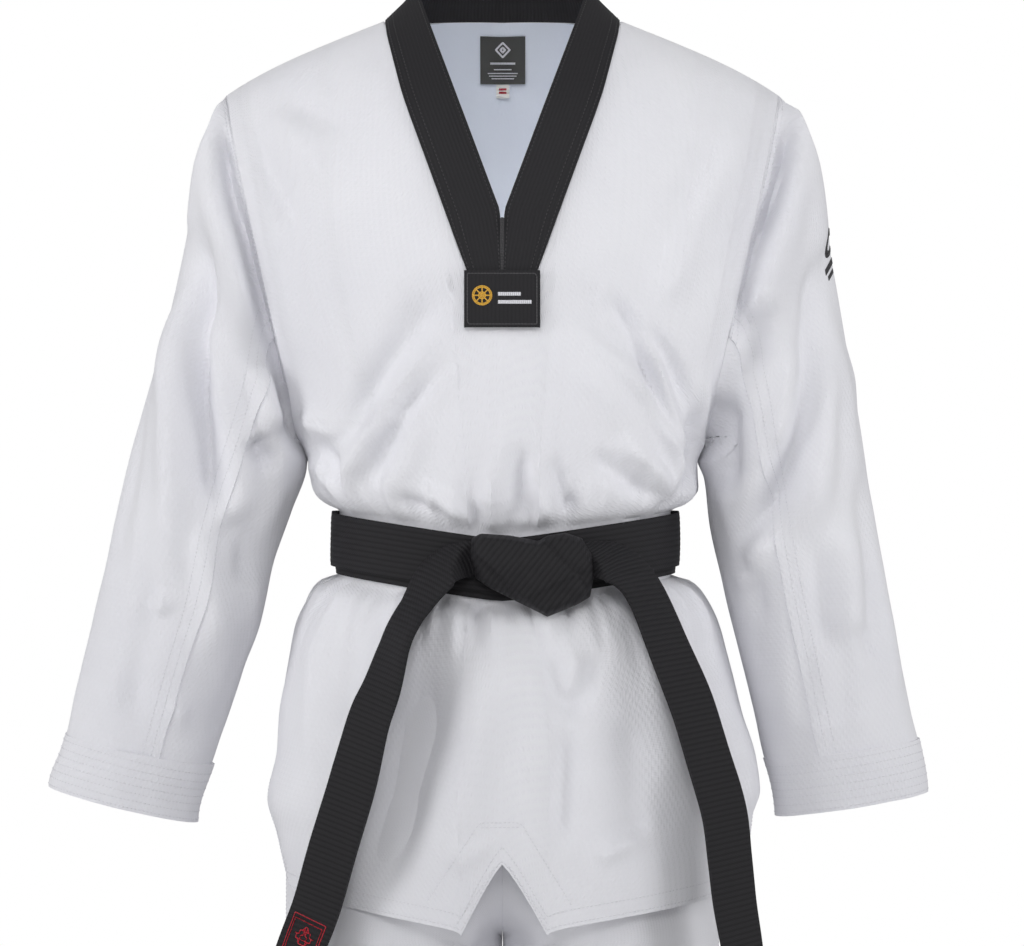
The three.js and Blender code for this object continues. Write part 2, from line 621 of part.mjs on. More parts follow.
// Trousers: two front and two back panels that make the seat, and the legs below the crotch.
const legLevel = (share) => lerp(CROTCH_Z, LEG_HEM_Z, share);
const legInner = (z) => lerp(0, LEG_HEM_INNER, clamp((CROTCH_Z - z) / (CROTCH_Z - LEG_HEM_Z), 0, 1));
const waistHalf = WAIST_HALF - CLOTH - LAY - SEAM / 2;
const trouserHalf = profile([
  [RISE_TOP_Z, waistHalf],
  [RISE_TOP_Z - WAISTBAND_HEIGHT, waistHalf],
  [HELD_END - 74, lerp(waistHalf, TROUSER_HIP_HALF, 0.72)],
  [HELD_END - 134, lerp(waistHalf, TROUSER_HIP_HALF, 0.94)],
  [-620, TROUSER_HIP_HALF],
  [CROTCH_Z, TROUSER_HIP_HALF],
  [legLevel(195 / 670), lerp(TROUSER_HIP_HALF, LEG_HEM_OUTER, 0.4)],
  [LEG_HEM_Z, LEG_HEM_OUTER],
]);

function trouserDepth(waist) {
  return profile([
    [RISE_TOP_Z, waist],
    [HELD_END - 20, waist],
    [HELD_END - 74, lerp(waist, TROUSER_HIP_DEPTH, 0.75)],
    [HELD_END - 134, TROUSER_HIP_DEPTH],
    [-620, TROUSER_HIP_DEPTH],
    [CROTCH_Z, TROUSER_HIP_DEPTH - 6],
    [legLevel(195 / 670), lerp(TROUSER_HIP_DEPTH, LEG_HEM_DEPTH, 0.45)],
    [LEG_HEM_Z, LEG_HEM_DEPTH],
  ]);
}

const EYELET_ROOM = 2.2; // the eyelets stand between the waistband and the jacket
const trouserFront = trouserDepth(WAIST_FRONT - CLOTH - EYELET_ROOM);
const trouserBack = trouserDepth(WAIST_BACK - CLOTH - LAY - SEAM / 2);

// The inseam edge comes round from the rise (90 degrees) to the crotch point (180 degrees).
function inseamAngle(z) {
  const turned = clamp((CROTCH_Z + CROTCH_CURVE - z) / CROTCH_CURVE, 0, 1);
  return 90 + (Math.asin(turned) * 180) / Math.PI;
}

// A point of the left half: angle 0 is the side seam; facing is -1 for the front and 1 for the back.
function trouserPoint(angle, z, facing) {
  const side = trouserHalf(z);
  const inner = legInner(z);
  const radius = (side - inner) / (1 - Math.cos(degToRad(inseamAngle(z))));
  const depth = facing < 0 ? trouserFront(z) : trouserBack(z);
  const x = side - radius + radius * Math.cos(degToRad(angle));
  return new THREE.Vector3(x, facing * depth * Math.sin(degToRad(angle)), z);
}

const bandEnd = RISE_TOP_Z - WAISTBAND_HEIGHT - SEAM;
const legEnd = LEG_HEM_Z + LEG_BAND;

function legPanel(sign, facing) {
  const rise = [1, 0.85, 0.66, 0.45, 0.28, 0.15, 0.06, 0.015, 0].map((t) => CROTCH_Z + t * CROTCH_CURVE);
  const leg = [17, 55, 115, 195, 295, 415, 535].map((drop) => legLevel(drop / 670));
  const hip = [24, 54, 94, 134].map((drop) => HELD_END - drop);
  const levels = [bandEnd, ...hip, ...rise, ...leg, legEnd + SEAM];
  const columns = steps(0, 1, 9).map((share) =>
    levels.map((z) => {
      const point = trouserPoint(inseamAngle(z) * share, z, facing);
      return new THREE.Vector3(sign * (point.x + SEAM / 2), point.y + (facing * SEAM) / 2, z);
    }),
  );
  const keep = (point) => {
    point.x = sign * Math.max(sign * point.x, SEAM / 2);
    point.y = facing * Math.max(facing * point.y, SEAM / 2);
    return point;
  };
  return clothSolid(sign * facing < 0 ? columns.reverse() : columns, CLOTH, { keep });
}

function legBand(sign) {
  const levels = [legEnd, LEG_HEM_Z];
  const columns = steps(0, 345, 23).map((turn) => {
    const facing = turn < 180 ? -1 : 1;
    const angle = turn < 180 ? 180 - turn : turn - 180;
    return levels.map((z) => {
      const point = trouserPoint(angle, z, facing);
      return new THREE.Vector3(sign * (point.x + SEAM / 2), point.y, z);
    });
  });
  return clothSolid(sign > 0 ? columns : columns.reverse(), BAND, { closed: true });
}

for (const { name, sign } of SIDES) {
  addPiece(`${name}_trouser_front`, legPanel(sign, -1), "white");
  addPiece(`${name}_trouser_back`, legPanel(sign, 1), "white");
  addPiece(`${name}_leg_hem_band`, legBand(sign), "white");
}

// Waistband, and the elastic that lies inside it.
function waistRing(lift, top, height, wall) {
  const columns = steps(0, 352.5, 47).map((angle) => {
    const cosine = Math.cos(degToRad(angle));
    const depth = (cosine >= 0 ? trouserFront(RISE_TOP_Z) : trouserBack(RISE_TOP_Z)) + lift;
    const x = (waistHalf + lift) * Math.sin(degToRad(angle));
    return [top, top - height].map((z) => new THREE.Vector3(x, -depth * cosine, z));
  });
  return clothSolid(columns, wall, { closed: true });
}

const ELASTIC_MARGIN = 6;
const elasticHeight = WAISTBAND_HEIGHT - 2 * ELASTIC_MARGIN;
addPiece("waistband", waistRing(0, RISE_TOP_Z, WAISTBAND_HEIGHT, CLOTH), "white");
const elastic = waistRing(-CLOTH - LAY, RISE_TOP_Z - ELASTIC_MARGIN, elasticHeight, CLOTH);
addPiece("waist_elastic", elastic, "elastic");

// Drawstring eyelets: rolled brass rings in front of the waistband.
function eyelet(x) {
  const profilePoints = [
    [EYELET_HOLE, 0],
    [EYELET_RADIUS, 0],
    [EYELET_RADIUS, 0.6],
    [EYELET_HOLE + 0.5, 1.2],
    [EYELET_HOLE, 0.9],
    [EYELET_HOLE, 0],
  ].map(([radius, height]) => new THREE.Vector2(radius, height));
  const nearEdge = (Math.abs(x) - EYELET_RADIUS) / waistHalf;
  const depth = trouserFront(RISE_TOP_Z) * Math.sqrt(1 - nearEdge ** 2);
  const geometry = new THREE.LatheGeometry(profilePoints, 16).rotateX(Math.PI);
  return geometry.translate(x, -depth - LAY, RISE_TOP_Z - WAISTBAND_HEIGHT / 2);
}

addPiece("left_drawstring_eyelet", eyelet(EYELET_SPACING / 2), "brass");
addPiece("right_drawstring_eyelet", eyelet(-EYELET_SPACING / 2), "brass");

export default uniform;
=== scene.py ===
import math

import bpy
import numpy as np
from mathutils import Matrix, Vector, noise
from mathutils.bvhtree import BVHTree


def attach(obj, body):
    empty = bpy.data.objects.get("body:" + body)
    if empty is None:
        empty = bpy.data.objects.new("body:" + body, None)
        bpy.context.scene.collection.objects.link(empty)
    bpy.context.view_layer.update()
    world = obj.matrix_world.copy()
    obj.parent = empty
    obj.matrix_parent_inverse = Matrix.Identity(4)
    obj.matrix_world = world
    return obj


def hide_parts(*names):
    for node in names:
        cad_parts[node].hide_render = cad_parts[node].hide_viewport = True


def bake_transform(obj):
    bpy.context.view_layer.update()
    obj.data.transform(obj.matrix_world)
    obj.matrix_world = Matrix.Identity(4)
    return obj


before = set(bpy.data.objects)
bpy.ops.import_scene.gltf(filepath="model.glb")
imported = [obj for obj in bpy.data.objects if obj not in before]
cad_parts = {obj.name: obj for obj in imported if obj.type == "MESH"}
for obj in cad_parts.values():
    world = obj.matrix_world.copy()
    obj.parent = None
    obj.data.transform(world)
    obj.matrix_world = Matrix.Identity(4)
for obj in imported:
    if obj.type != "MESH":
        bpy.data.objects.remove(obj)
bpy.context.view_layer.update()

# Shapes are worked out in millimetres in the frame of the CAD model: +X is the wearer's left, the
# front faces -Y and +Z is up. Meshes are made in metres.
MM = 0.001

bpy.context.scene.view_settings.view_transform = "Standard"

# ---------------------------------------------------------------- camera
camera_data = bpy.data.cameras.new("camera")
camera_data.lens = 126
camera_data.sensor_width = 36
camera = bpy.data.objects.new("camera", camera_data)
camera.location = (0.0074, -2.8, -0.347)
camera.rotation_euler = (math.radians(90), 0, 0)
bpy.context.scene.collection.objects.link(camera)
bpy.context.scene.camera = camera


# ---------------------------------------------------------------- curves and profiles
def lerp(a, b, t):
    return a + (b - a) * t


def smoothstep(x, low, high):
    t = np.clip((np.asarray(x, float) - low) / (high - low), 0, 1)
    return t * t * (3 - 2 * t)


def profile(pairs):
    """A smooth value through [place, value] pairs that doesn't overshoot between them."""
    place, value = np.array(sorted(pairs), float).T
    slope = np.diff(value) / np.diff(place)
    tangent = np.zeros(len(place))
    before, after = slope[:-1], slope[1:]
    steady = before * after > 0
    tangent[1:-1][steady] = (2 * before * after)[steady] / (before + after)[steady]

    def at(x):
        x = np.clip(x, place[0], place[-1])
        k = np.clip(np.searchsorted(place, x, side="right") - 1, 0, len(place) - 2)
        width = place[k + 1] - place[k]
        t = (x - place[k]) / width
        bend = (t * (1 - t) ** 2 * tangent[k] - t**2 * (1 - t) * tangent[k + 1]) * width
        return lerp(value[k], value[k + 1], t * t * (3 - 2 * t)) + bend

    return at


def smooth_line(points, per_span=6):
    """Points along a Catmull-Rom curve through the given ones."""
    p = np.array(points, float)
    p = np.vstack([2 * p[0] - p[1], p, 2 * p[-1] - p[-2]])
    t = np.linspace(0, 1, per_span, endpoint=False)[:, None]
    spans = []
    for a, b, c, d in zip(p[:-3], p[1:-2], p[2:-1], p[3:]):
        spans.append(0.5 * (2 * b + (c - a) * t + (2 * a - 5 * b + 4 * c - d) * t**2
                            + (3 * b - a - 3 * c + d) * t**3))
    return np.vstack(spans + [p[-2:-1]])


def lengths(points):
    """Distance along a line of points, starting at 0."""
    step = np.linalg.norm(np.diff(points, axis=0), axis=1)
    return np.concatenate([[0], np.cumsum(step)])


def spaced(points, pitch, *others):
    """The line, and any lists that go with it, sampled at even steps of about pitch."""
    along = lengths(points)
    count = max(2, int(round(along[-1] / pitch)) + 1)
    at = np.linspace(0, along[-1], count)
    sample = lambda values: np.stack([np.interp(at, along, v) for v in np.array(values).T], -1)
    return [sample(values) for values in (points, *others)]


def unit(vectors):
    size = np.linalg.norm(vectors, axis=-1, keepdims=True)
    return vectors / np.maximum(size, 1e-9)


# ---------------------------------------------------------------- meshes
def link(name, mesh, material):
    """A new piece from a finished mesh."""
    mesh.materials.append(material)
    piece = bpy.data.objects.new(name, mesh)
    bpy.context.scene.collection.objects.link(piece)
    return piece


def mesh_from(name, points, faces, uv=None, sharp=50):
    """A smooth mesh from points in millimetres, with edges past the sharp angle kept crisp."""
    mesh = bpy.data.meshes.new(name)
    mesh.from_pydata((np.asarray(points) * MM).tolist(), [], faces)
    if uv is not None:
        corner = np.zeros(len(mesh.loops), int)
        mesh.loops.foreach_get("vertex_index", corner)
        layer = mesh.uv_layers.new(name="cloth")
        layer.data.foreach_set("uv", (np.asarray(uv) * MM)[corner].ravel())
    mesh.polygons.foreach_set("use_smooth", [True] * len(mesh.polygons))
    mesh.set_sharp_from_angle(angle=math.radians(sharp))
    mesh.validate()
    return mesh


def grid_normals(grid, closed=False):
    """Outward directions of a grid of points[column, row]; columns run anticlockwise from above."""
    across = np.roll(grid, -1, 0) - np.roll(grid, 1, 0)
    if not closed:
        across[0] = grid[1] - grid[0]
        across[-1] = grid[-1] - grid[-2]
    along = np.gradient(grid, axis=1)
    return unit(np.cross(along, across))


def raised(grid, amount, closed=False):
    """The grid moved out along its normals by an amount for each point."""
    return grid + grid_normals(grid, closed) * np.asarray(amount)[..., None]


def cloth(name, grid, wall, material, closed=False, inside=None):
    """A cloth piece as a closed shell: the grid is its outer face and the wall goes inwards."""
    columns, rows = grid.shape[:2]
    inner = grid - grid_normals(grid, closed) * wall
    points = np.concatenate([grid.reshape(-1, 3), inner.reshape(-1, 3)])
    at = np.arange(columns * rows).reshape(columns, rows)
    if closed:
        at = np.vstack([at, at[:1]])
    a, b, c, d = at[:-1, :-1], at[:-1, 1:], at[1:, 1:], at[1:, :-1]
    outer_faces = np.stack([a, b, c, d], -1).reshape(-1, 4)
    inner_faces = np.stack([a, d, c, b], -1).reshape(-1, 4) + columns * rows
    back = columns * rows
    rims = []

    def rim(line):
        rims.append(np.stack([line[1:], line[:-1], line[:-1] + back, line[1:] + back], -1))

    rim(at[::-1, 0])
    rim(at[:, -1])
    if not closed:
        rim(at[0])
        rim(at[-1, ::-1])
    faces = np.concatenate([outer_faces, inner_faces, *rims])
    step_across = np.linalg.norm(np.diff(grid, axis=0), axis=-1)
    u = np.vstack([np.zeros((1, rows)), np.cumsum(step_across, 0)])
    u = u - u[len(u) // 2]
    v = np.zeros((columns, rows))
    v[:, 1:] = np.cumsum(np.linalg.norm(np.diff(grid, axis=1), axis=-1), 1)
    uv = np.stack([u, v[:, -1:] - v], -1).reshape(-1, 2)
    mesh = mesh_from(name, points, faces.tolist(), np.concatenate([uv, uv]))
    piece = link(name, mesh, material)
    if inside is not None:
        mesh.materials.append(inside)
        for face in mesh.polygons[len(outer_faces) : 2 * len(outer_faces)]:
            face.material_index = 1
    return piece


def cloth_area(grid, closed=False):
    """Area of the grid's cloth in square metres."""
    g = np.concatenate([grid, grid[:1]]) if closed else grid
    one = np.cross(g[1:, :-1] - g[:-1, :-1], g[:-1, 1:] - g[:-1, :-1])
    two = np.cross(g[1:, 1:] - g[1:, :-1], g[1:, 1:] - g[:-1, 1:])
    return (np.linalg.norm(one, axis=-1).sum() + np.linalg.norm(two, axis=-1).sum()) / 2 * MM**2


def cut(grid, closed=False):
    """Works out the size a sheet was cut to from grid, its plain shape without folds; nothing uses the
    result.
    """
    g = np.concatenate([grid, grid[:1]]) if closed else grid
    width = np.linalg.norm(np.diff(g, axis=0), axis=-1).sum(0).max() * MM
    length = np.linalg.norm(np.diff(g, axis=1), axis=-1).sum(1).max() * MM
    area = min(cloth_area(grid, closed), width * length)


# ---------------------------------------------------------------- stitches
def stitch_line(points, normals, pitch=3.2):
    """Stitches along a line: centres, directions and normals."""
    p, n = spaced(points, pitch, normals)
    middle = (p[1:] + p[:-1]) / 2
    return middle, unit(p[1:] - p[:-1]), unit(n[1:] + n[:-1])


def stitches(name, lines, material, length=2.3, width=0.6, height=0.5):
    """One mesh of sewn stitches, each a small rounded grain lying half in the cloth."""
    centre = np.concatenate([line[0] for line in lines])
    along = np.concatenate([line[1] for line in lines])
    up = np.concatenate([line[2] for line in lines])
    side = unit(np.cross(up, along))
    shape = [(-0.5, 0, -0.3), (0.5, 0, -0.3)]
    for end in (-0.28, 0.28):
        shape += [(end, 0.5, 0), (end, 0, 0.7), (end, -0.5, 0), (end, 0, -0.7)]
    points = np.stack([centre + along * l * length + side * s * width + up * h * height
                       for l, s, h in shape], 1)
    grain = []
    for k in range(4):
        m = (k + 1) % 4
        grain += [(0, 2 + m, 2 + k), (1, 6 + k, 6 + m), (2 + k, 2 + m, 6 + m), (2 + k, 6 + m, 6 + k)]
    faces = (np.array(grain)[None] + 10 * np.arange(len(centre))[:, None, None]).reshape(-1, 3)
    mesh = mesh_from(name, points.reshape(-1, 3), faces.tolist(), sharp=80)
    return link(name, mesh, material)


def row_from_edge(grid, distance, last=True):
    """The line across the columns that lies a distance from the last (or first) row."""
    g = grid[:, ::-1] if last else grid
    along = np.zeros(g.shape[:2])
    along[:, 1:] = np.cumsum(np.linalg.norm(np.diff(g, axis=1), axis=-1), 1)
    return np.array([[np.interp(distance, along[i], g[i, :, k]) for k in range(3)]
                     for i in range(len(g))])


STITCH_LIFT = 0.1


def edge_stitches(grid, distance, last=True, closed=False):
    """Stitches along a line that keeps a distance from an edge."""
    line = row_from_edge(grid, distance, last)
    normals = grid_normals(grid, closed)[:, -2 if last else 1]
    if closed:
        line = np.vstack([line, line[:1]])
        normals = np.vstack([normals, normals[:1]])
    return stitch_line(line + normals * STITCH_LIFT, normals)


def column_stitches(grid, column):
    """Stitches along one column of a grid."""
    normals = grid_normals(grid)[column]
    return stitch_line(grid[column] + normals * STITCH_LIFT, normals)


def surface(piece):
    """A finished piece's surface, for laying lines on it."""
    mesh = piece.data
    points = [v.co for v in mesh.vertices]
    return BVHTree.FromPolygons(points, [tuple(p.vertices) for p in mesh.polygons])


def laid_stitches(tree, points, facing):
    """Stitches along points, as x and height, dropped on a surface from the front (-1) or back (1)."""
    hits, normals = [], []
    for x, z in spaced(np.array(points, float), 4)[0]:
        start = Vector((x * MM, facing, z * MM))
        place, normal, _, _ = tree.ray_cast(start, Vector((0, -facing, 0)))
        hits.append(np.array(place) / MM + np.array(normal) * STITCH_LIFT)
        normals.append(np.array(normal))
    return stitch_line(np.array(hits), np.array(normals))


# ---------------------------------------------------------------- folds
def fold(x, z, points, width, height, lean=0.0, ends=0.3):
    """Height of one soft fold that runs along points. width and height are half width and rise in
    millimetres, lean makes one flank steeper, and the fold fades over a share of its length."""
    line = smooth_line(points)
    along = lengths(line)
    near = np.full(x.shape, 1e9)
    side = np.zeros(x.shape)
    share = np.zeros(x.shape)
    for a, b, start in zip(line[:-1], line[1:], along):
        d = b - a
        size = math.hypot(*d) or 1e-9
        t = np.clip(((x - a[0]) * d[0] + (z - a[1]) * d[1]) / size**2, 0, 1)
        off_x, off_z = x - a[0] - t * d[0], z - a[1] - t * d[1]
        distance = np.hypot(off_x, off_z)
        closer = distance < near
        near = np.where(closer, distance, near)
        side = np.where(closer, np.sign(d[0] * off_z - d[1] * off_x), side)
        share = np.where(closer, (start + t * size) / along[-1], share)
    fade = smoothstep(share, 0, ends) * smoothstep(1 - share, 0, ends)
    s = near / width
    return height * fade * np.exp(-(s**2)) * (1 + lean * side * s)


def folds(x, z, strokes):
    return sum(fold(x, z, *stroke) for stroke in strokes)


def fold_table(text):
    """Folds from a table: each line has the fold's points as x and height, then its half width, rise,
    lean and fade."""
    lines = [line.split() for line in text.splitlines() if line and "#" not in line]
    rows = [[float(number) for number in line] for line in lines]
    return [(np.reshape(row[:-4], (-1, 2)), *row[-4:]) for row in rows]


def rumple(grid, scale, seed):
    """Soft irregular undulation between about -1 and 1. scale is its size along x, y and z."""
    flat = grid.reshape(-1, 3) / np.array(scale)
    values = [noise.noise(Vector(p) + Vector((seed, seed * 0.7, -seed))) for p in flat.tolist()]
    return np.array(values).reshape(grid.shape[:2]) * 1.6


# ---------------------------------------------------------------- materials
def linear(colour):
    """A linear colour with alpha from an sRGB hex value."""
    parts = [int(colour[k : k + 2], 16) / 255 for k in (1, 3, 5)]
    return (*[c / 12.92 if c <= 0.04045 else ((c + 0.055) / 1.055) ** 2.4 for c in parts], 1)


def node(owner, kind, inputs=None, **settings):
    """Adds a node to a material or world; an input is a value or another node's output."""
    tree = owner.node_tree
    made = tree.nodes.new(kind)
    for name, value in settings.items():
        setattr(made, name, value)
    for name, value in (inputs or {}).items():
        if isinstance(value, bpy.types.NodeSocket):
            tree.links.new(value, made.inputs[name])
        else:
            made.inputs[name].default_value = value
    return made


def new_material(name, **surface_inputs):
    """A material with a Principled surface; returns it and the surface node."""
    material = bpy.data.materials.new(name)
    material.use_nodes = True
    principled = material.node_tree.nodes["Principled BSDF"]
    for socket, value in surface_inputs.items():
        principled.inputs[socket.replace("_", " ")].default_value = value
    return material, principled


def joined(owner, output, socket):
    owner.node_tree.links.new(output, socket)


def woven(material, surface_node, height, distance, strength=1.0):
    """Gives a surface its relief: distance is the height in metres of a full-white pattern."""
    bump = node(material, "ShaderNodeBump", {"Height": height, "Distance": distance, "Strength": strength})
    joined(material, bump.outputs["Normal"], surface_node.inputs["Normal"])


def bands(material, coords, spacing, turn):
    """Even parallel bands across a UV map in metres. spacing is from band to band."""
    mapped = node(material, "ShaderNodeMapping", {"Vector": coords, "Rotation": (0, 0, math.radians(turn))})
    # A wave texture repeats every pi / 10 of its coordinate at scale 1.
    scale = math.pi / 10 / spacing
    return node(material, "ShaderNodeTexWave", {"Vector": mapped.outputs["Vector"], "Scale": scale},
                wave_type="BANDS", bands_direction="X", wave_profile="SIN").outputs["Fac"]


def ramp_between(material, fac, dark, light, low, high):
    """A colour between two as fac goes from low to high."""
    ramp = node(material, "ShaderNodeValToRGB", {"Fac": fac})
    for stop, place, colour in zip(ramp.color_ramp.elements, (low, high), (dark, light)):
        stop.position, stop.color = place, linear(colour)
    return ramp.outputs["Color"]


def diamond_cloth(name, dark, light, diamond, relief):
    """Bleached cotton and polyester woven with a small raised diamond. It scatters nearly all the
    light, so shade is soft; a little sheen comes from its loose fibre ends."""
    material, face = new_material(name, Roughness=0.86, Sheen_Weight=0.25, Sheen_Roughness=0.5)
    place = node(material, "ShaderNodeTexCoord")
    uv = place.outputs["UV"]
    # slow variation between two close colours, as in any washed cloth
    cloud = node(material, "ShaderNodeTexNoise",
                 {"Vector": place.outputs["Object"], "Scale": 9.0, "Detail": 3.0})
    colour = ramp_between(material, cloud.outputs["Fac"], dark, light, 0.3, 0.7)
    joined(material, colour, face.inputs["Base Color"])
    one = bands(material, uv, diamond, 30)
    two = bands(material, uv, diamond, -30)
    lattice = node(material, "ShaderNodeMath", {0: one, 1: two}, operation="MULTIPLY")
    # Threads are 0.4 mm apart; drawn at 1.3 mm so that they show.
    warp = bands(material, uv, 0.0013, 0)
    weft = bands(material, uv, 0.0013, 90)
    threads = node(material, "ShaderNodeMath", {0: warp, 1: weft}, operation="ADD")
    relief_sum = node(material, "ShaderNodeMath",
                      {0: threads.outputs[0], 1: 0.25, 2: lattice.outputs[0]}, operation="MULTIPLY_ADD")
    woven(material, face, relief_sum.outputs[0], relief)
    return material


def black_webbing(name, rows, turn, painted_valley_shade, depth):
    """Black cotton satin sewn through in close rows, with a soft sheen; its colour is painted darker in the
    valleys between the rows, as painted shade.
    """
    material, face = new_material(name, Roughness=0.7, Sheen_Weight=0.14, Sheen_Roughness=0.35,
                                  Specular_IOR_Level=0.28)
    face.inputs["Sheen Tint"].default_value = linear("#504e54")
    place = node(material, "ShaderNodeTexCoord")
    uv = place.outputs["UV"]
    quilting = bands(material, uv, rows, turn)
    twill = bands(material, uv, 0.0016, turn + 35)
    # painted shade: the base colour darkens in the valleys between the sewn rows
    colour = ramp_between(material, quilting, painted_valley_shade, "#201F22", 0, 0.6)
    joined(material, colour, face.inputs["Base Color"])
    relief = node(material, "ShaderNodeMath", {0: twill, 1: 0.2, 2: quilting}, operation="MULTIPLY_ADD")
    woven(material, face, relief.outputs[0], depth)
    return material


def thread(name, colour, gloss=0.5):
    """Polyester sewing and embroidery thread: smooth filaments with a slight shine."""
    material, face = new_material(name, Base_Color=linear(colour), Roughness=gloss)
    place = node(material, "ShaderNodeTexCoord")
    strands = node(material, "ShaderNodeTexNoise", {"Vector": place.outputs["Object"], "Scale": 900.0})
    woven(material, face, strands.outputs["Fac"], 0.0002, 0.5)
    return material


def ribbed(name, colour, roughness, spacing, depth):
    """Narrow woven goods: satin label tape, or the crimped cover of elastic."""
    material, face = new_material(name, Base_Color=linear(colour), Roughness=roughness)
    uv = node(material, "ShaderNodeTexCoord").outputs["UV"]
    woven(material, face, bands(material, uv, spacing, 90), depth)
    return material


JACKET_CLOTH = diamond_cloth("bleached_diamond_cotton", "#E3E3E9", "#E9E9EE", 0.0042, 0.00022)
TROUSER_CLOTH = diamond_cloth("bleached_plain_cotton", "#E2E2E8", "#E8E8ED", 0.0021, 0.00012)
# The darker colour given to each black cloth is painted shade in the valleys between its sewn rows.
BELT_CLOTH = black_webbing("quilted_black_cotton", 0.0041, 90, "#161518", 0.0004)
# The inside's colour is painted shade: a bluer copy of the outer cloth, standing for the cool tint the inside
# of the neck takes in shade.
INSIDE_PAINTED_SHADE_CLOTH = diamond_cloth("unpressed_cotton_inside", "#DEE4F0", "#E4EAF5", 0.0042, 0.0001)
# 1C1B1E is painted shade between the collar's sewn rows.
COLLAR_CLOTH = black_webbing("black_collar_drill", 0.0030, 0, "#1C1B1E", 0.00016)
WHITE_THREAD = thread("white_polyester_thread", "#DCDCE2")
BLACK_THREAD = thread("black_polyester_thread", "#3A393C", 0.4)
COLLAR_THREAD = thread("dark_collar_thread", "#29282B", 0.5)
GOLD_THREAD = thread("gold_rayon_thread", "#D6A432", 0.35)
RED_THREAD = thread("red_rayon_thread", "#BE1E32", 0.4)
LABEL_CLOTH = ribbed("woven_satin_label", "#3C3C3A", 0.45, 0.0009, 0.00008)
ELASTIC_CLOTH = ribbed("covered_waist_elastic", "#ECECE8", 0.9, 0.003, 0.0004)

# ---------------------------------------------------------------- placing and sewing
def placed(piece, body, slot, *replaced):
    """Hides the parts that a finished piece stands for and attaches it to what it moves with; slot, what it
    is made of, is not used.
    """
    if replaced:
        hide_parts(*replaced)
    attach(piece, body)


def sewing(name, lines, material, slot, body="garment", replaced=(), **size):
    """Stitches as a piece of their own."""
    seam = stitches(name, lines, material, **size)
    placed(seam, body, slot, *replaced)
    return seam


def sewn_sheet(name, grid, wall, material, slot, replaced, plain=None, rows=None,
               closed=False, body="garment"):
    """A cloth sheet. rows gives its stitches: their lines, thread, slot and width."""
    piece = cloth(name, grid, wall, material, closed)
    placed(piece, body, slot, replaced)
    seams = []
    if rows:
        lines, thread_used, thread_slot, width = rows
        seam_name = name.rsplit("_", 1)[0] + "_stitching"
        seams = [sewing(seam_name, lines, thread_used, thread_slot, body, width=width)]
    cut(grid if plain is None else plain, closed)
    return piece


def white_rows(lines):
    return lines, WHITE_THREAD, "white_trim", 0.6


def dark_rows(lines):
    return lines, COLLAR_THREAD, "black_band", 0.7


# ---------------------------------------------------------------- the jacket's body
NECK_HALF, NECK_Z, BACK_NECK_Z = 91, 6, 12
SHOULDER_HALF, SHOULDER_Z = 215, -52
ARMPIT_HALF, ARMPIT_Z = 152, -336
WAIST_Z, WAIST_DIP = -400, 20
WAIST_LEFT, WAIST_RIGHT, WAIST_FRONT, WAIST_BACK = 131, 127, 95, 85
HEM_Z, HEM_RISE, HIP_HALF = -692, 26, 194
NOTCH_HALF, NOTCH_HEIGHT = 35, 53
VENT_APEX_Z, VENT_HALF_ANGLE = -598, 18
SECTION_POWER = 2.3
CLOTH = 1.6

SHOULDER_WIDTHS = [(0, 235), (-100, 233), (-196, 218), (-280, 181.7), (ARMPIT_Z, ARMPIT_HALF)]
half_left = profile(SHOULDER_WIDTHS + [
    (-358, 152), (-368, 145), (-376, WAIST_LEFT), (-426, WAIST_LEFT), (-433, 147), (-448, 160),
    (-466, 169), (-497, 178), (-538, 188), (-568, 197), (-592, 200), (-613, 193), (-692, 186)])
half_right = profile(SHOULDER_WIDTHS + [
    (-356, 147), (-367, 138), (-376, WAIST_RIGHT), (-425, WAIST_RIGHT), (-432, 141), (-448, 154),
    (-466, 162), (-487, 166), (-526, 172), (-560, 175), (-600, 183), (-625, 177), (-692, 168)])


def depth_profile(chest, waist, hip):
    return profile([
        (0, chest * 0.86), (-100, chest * 0.9), (-196, chest * 0.98), (-294, chest * 1.01),
        (WAIST_Z + 55, lerp(waist, chest, 0.95)), (WAIST_Z + 36, lerp(waist, chest, 0.55)),
        (WAIST_Z + 25, waist), (WAIST_Z - 25, waist), (WAIST_Z - 40, lerp(waist, hip, 0.35)),
        (WAIST_Z - 100, lerp(waist, hip, 0.76)), (HEM_Z, hip)])


front_depth = depth_profile(112, WAIST_FRONT, 126)
back_depth = depth_profile(102, WAIST_BACK, 122)


def power(value):
    return np.sign(value) * np.abs(value) ** (2 / SECTION_POWER)


def angle_of(x, half):
    share = np.clip(np.abs(x) / half, 0, 1) ** (SECTION_POWER / 2)
    return np.sign(x) * np.degrees(np.arcsin(share))


def ridge_z(x):
    """Height of the shoulder seam."""
    out = (np.abs(x) - NECK_HALF) / (SHOULDER_HALF - NECK_HALF)
    outside = lerp(NECK_Z, SHOULDER_Z, 0.85 * out + 0.15 * out**4)
    return np.where(out < 0, NECK_Z - 0.44 * out * (SHOULDER_HALF - NECK_HALF), outside)


def shoulder_round(x, z):
    reach = lerp(150, 90, np.clip(np.abs(x) / SHOULDER_HALF, 0, 1))
    below = np.clip((ridge_z(x) - z) / reach, 0, 1)
    return np.sqrt(1 - (1 - below) ** 2)


def waist_dip(angle):
    """The tied belt runs down to the knot almost straight from each side."""
    out = np.abs(power(np.sin(np.radians(angle))))
    tied = 1.06 - np.sqrt(out**2 + 0.0036)
    return -WAIST_DIP * np.where(np.cos(np.radians(angle)) > 0, np.clip(tied, 0, 1), 0)


def waist_shift(angle, z):
    return waist_dip(angle) * (1 - smoothstep(np.abs(z - WAIST_Z), 60, 140))


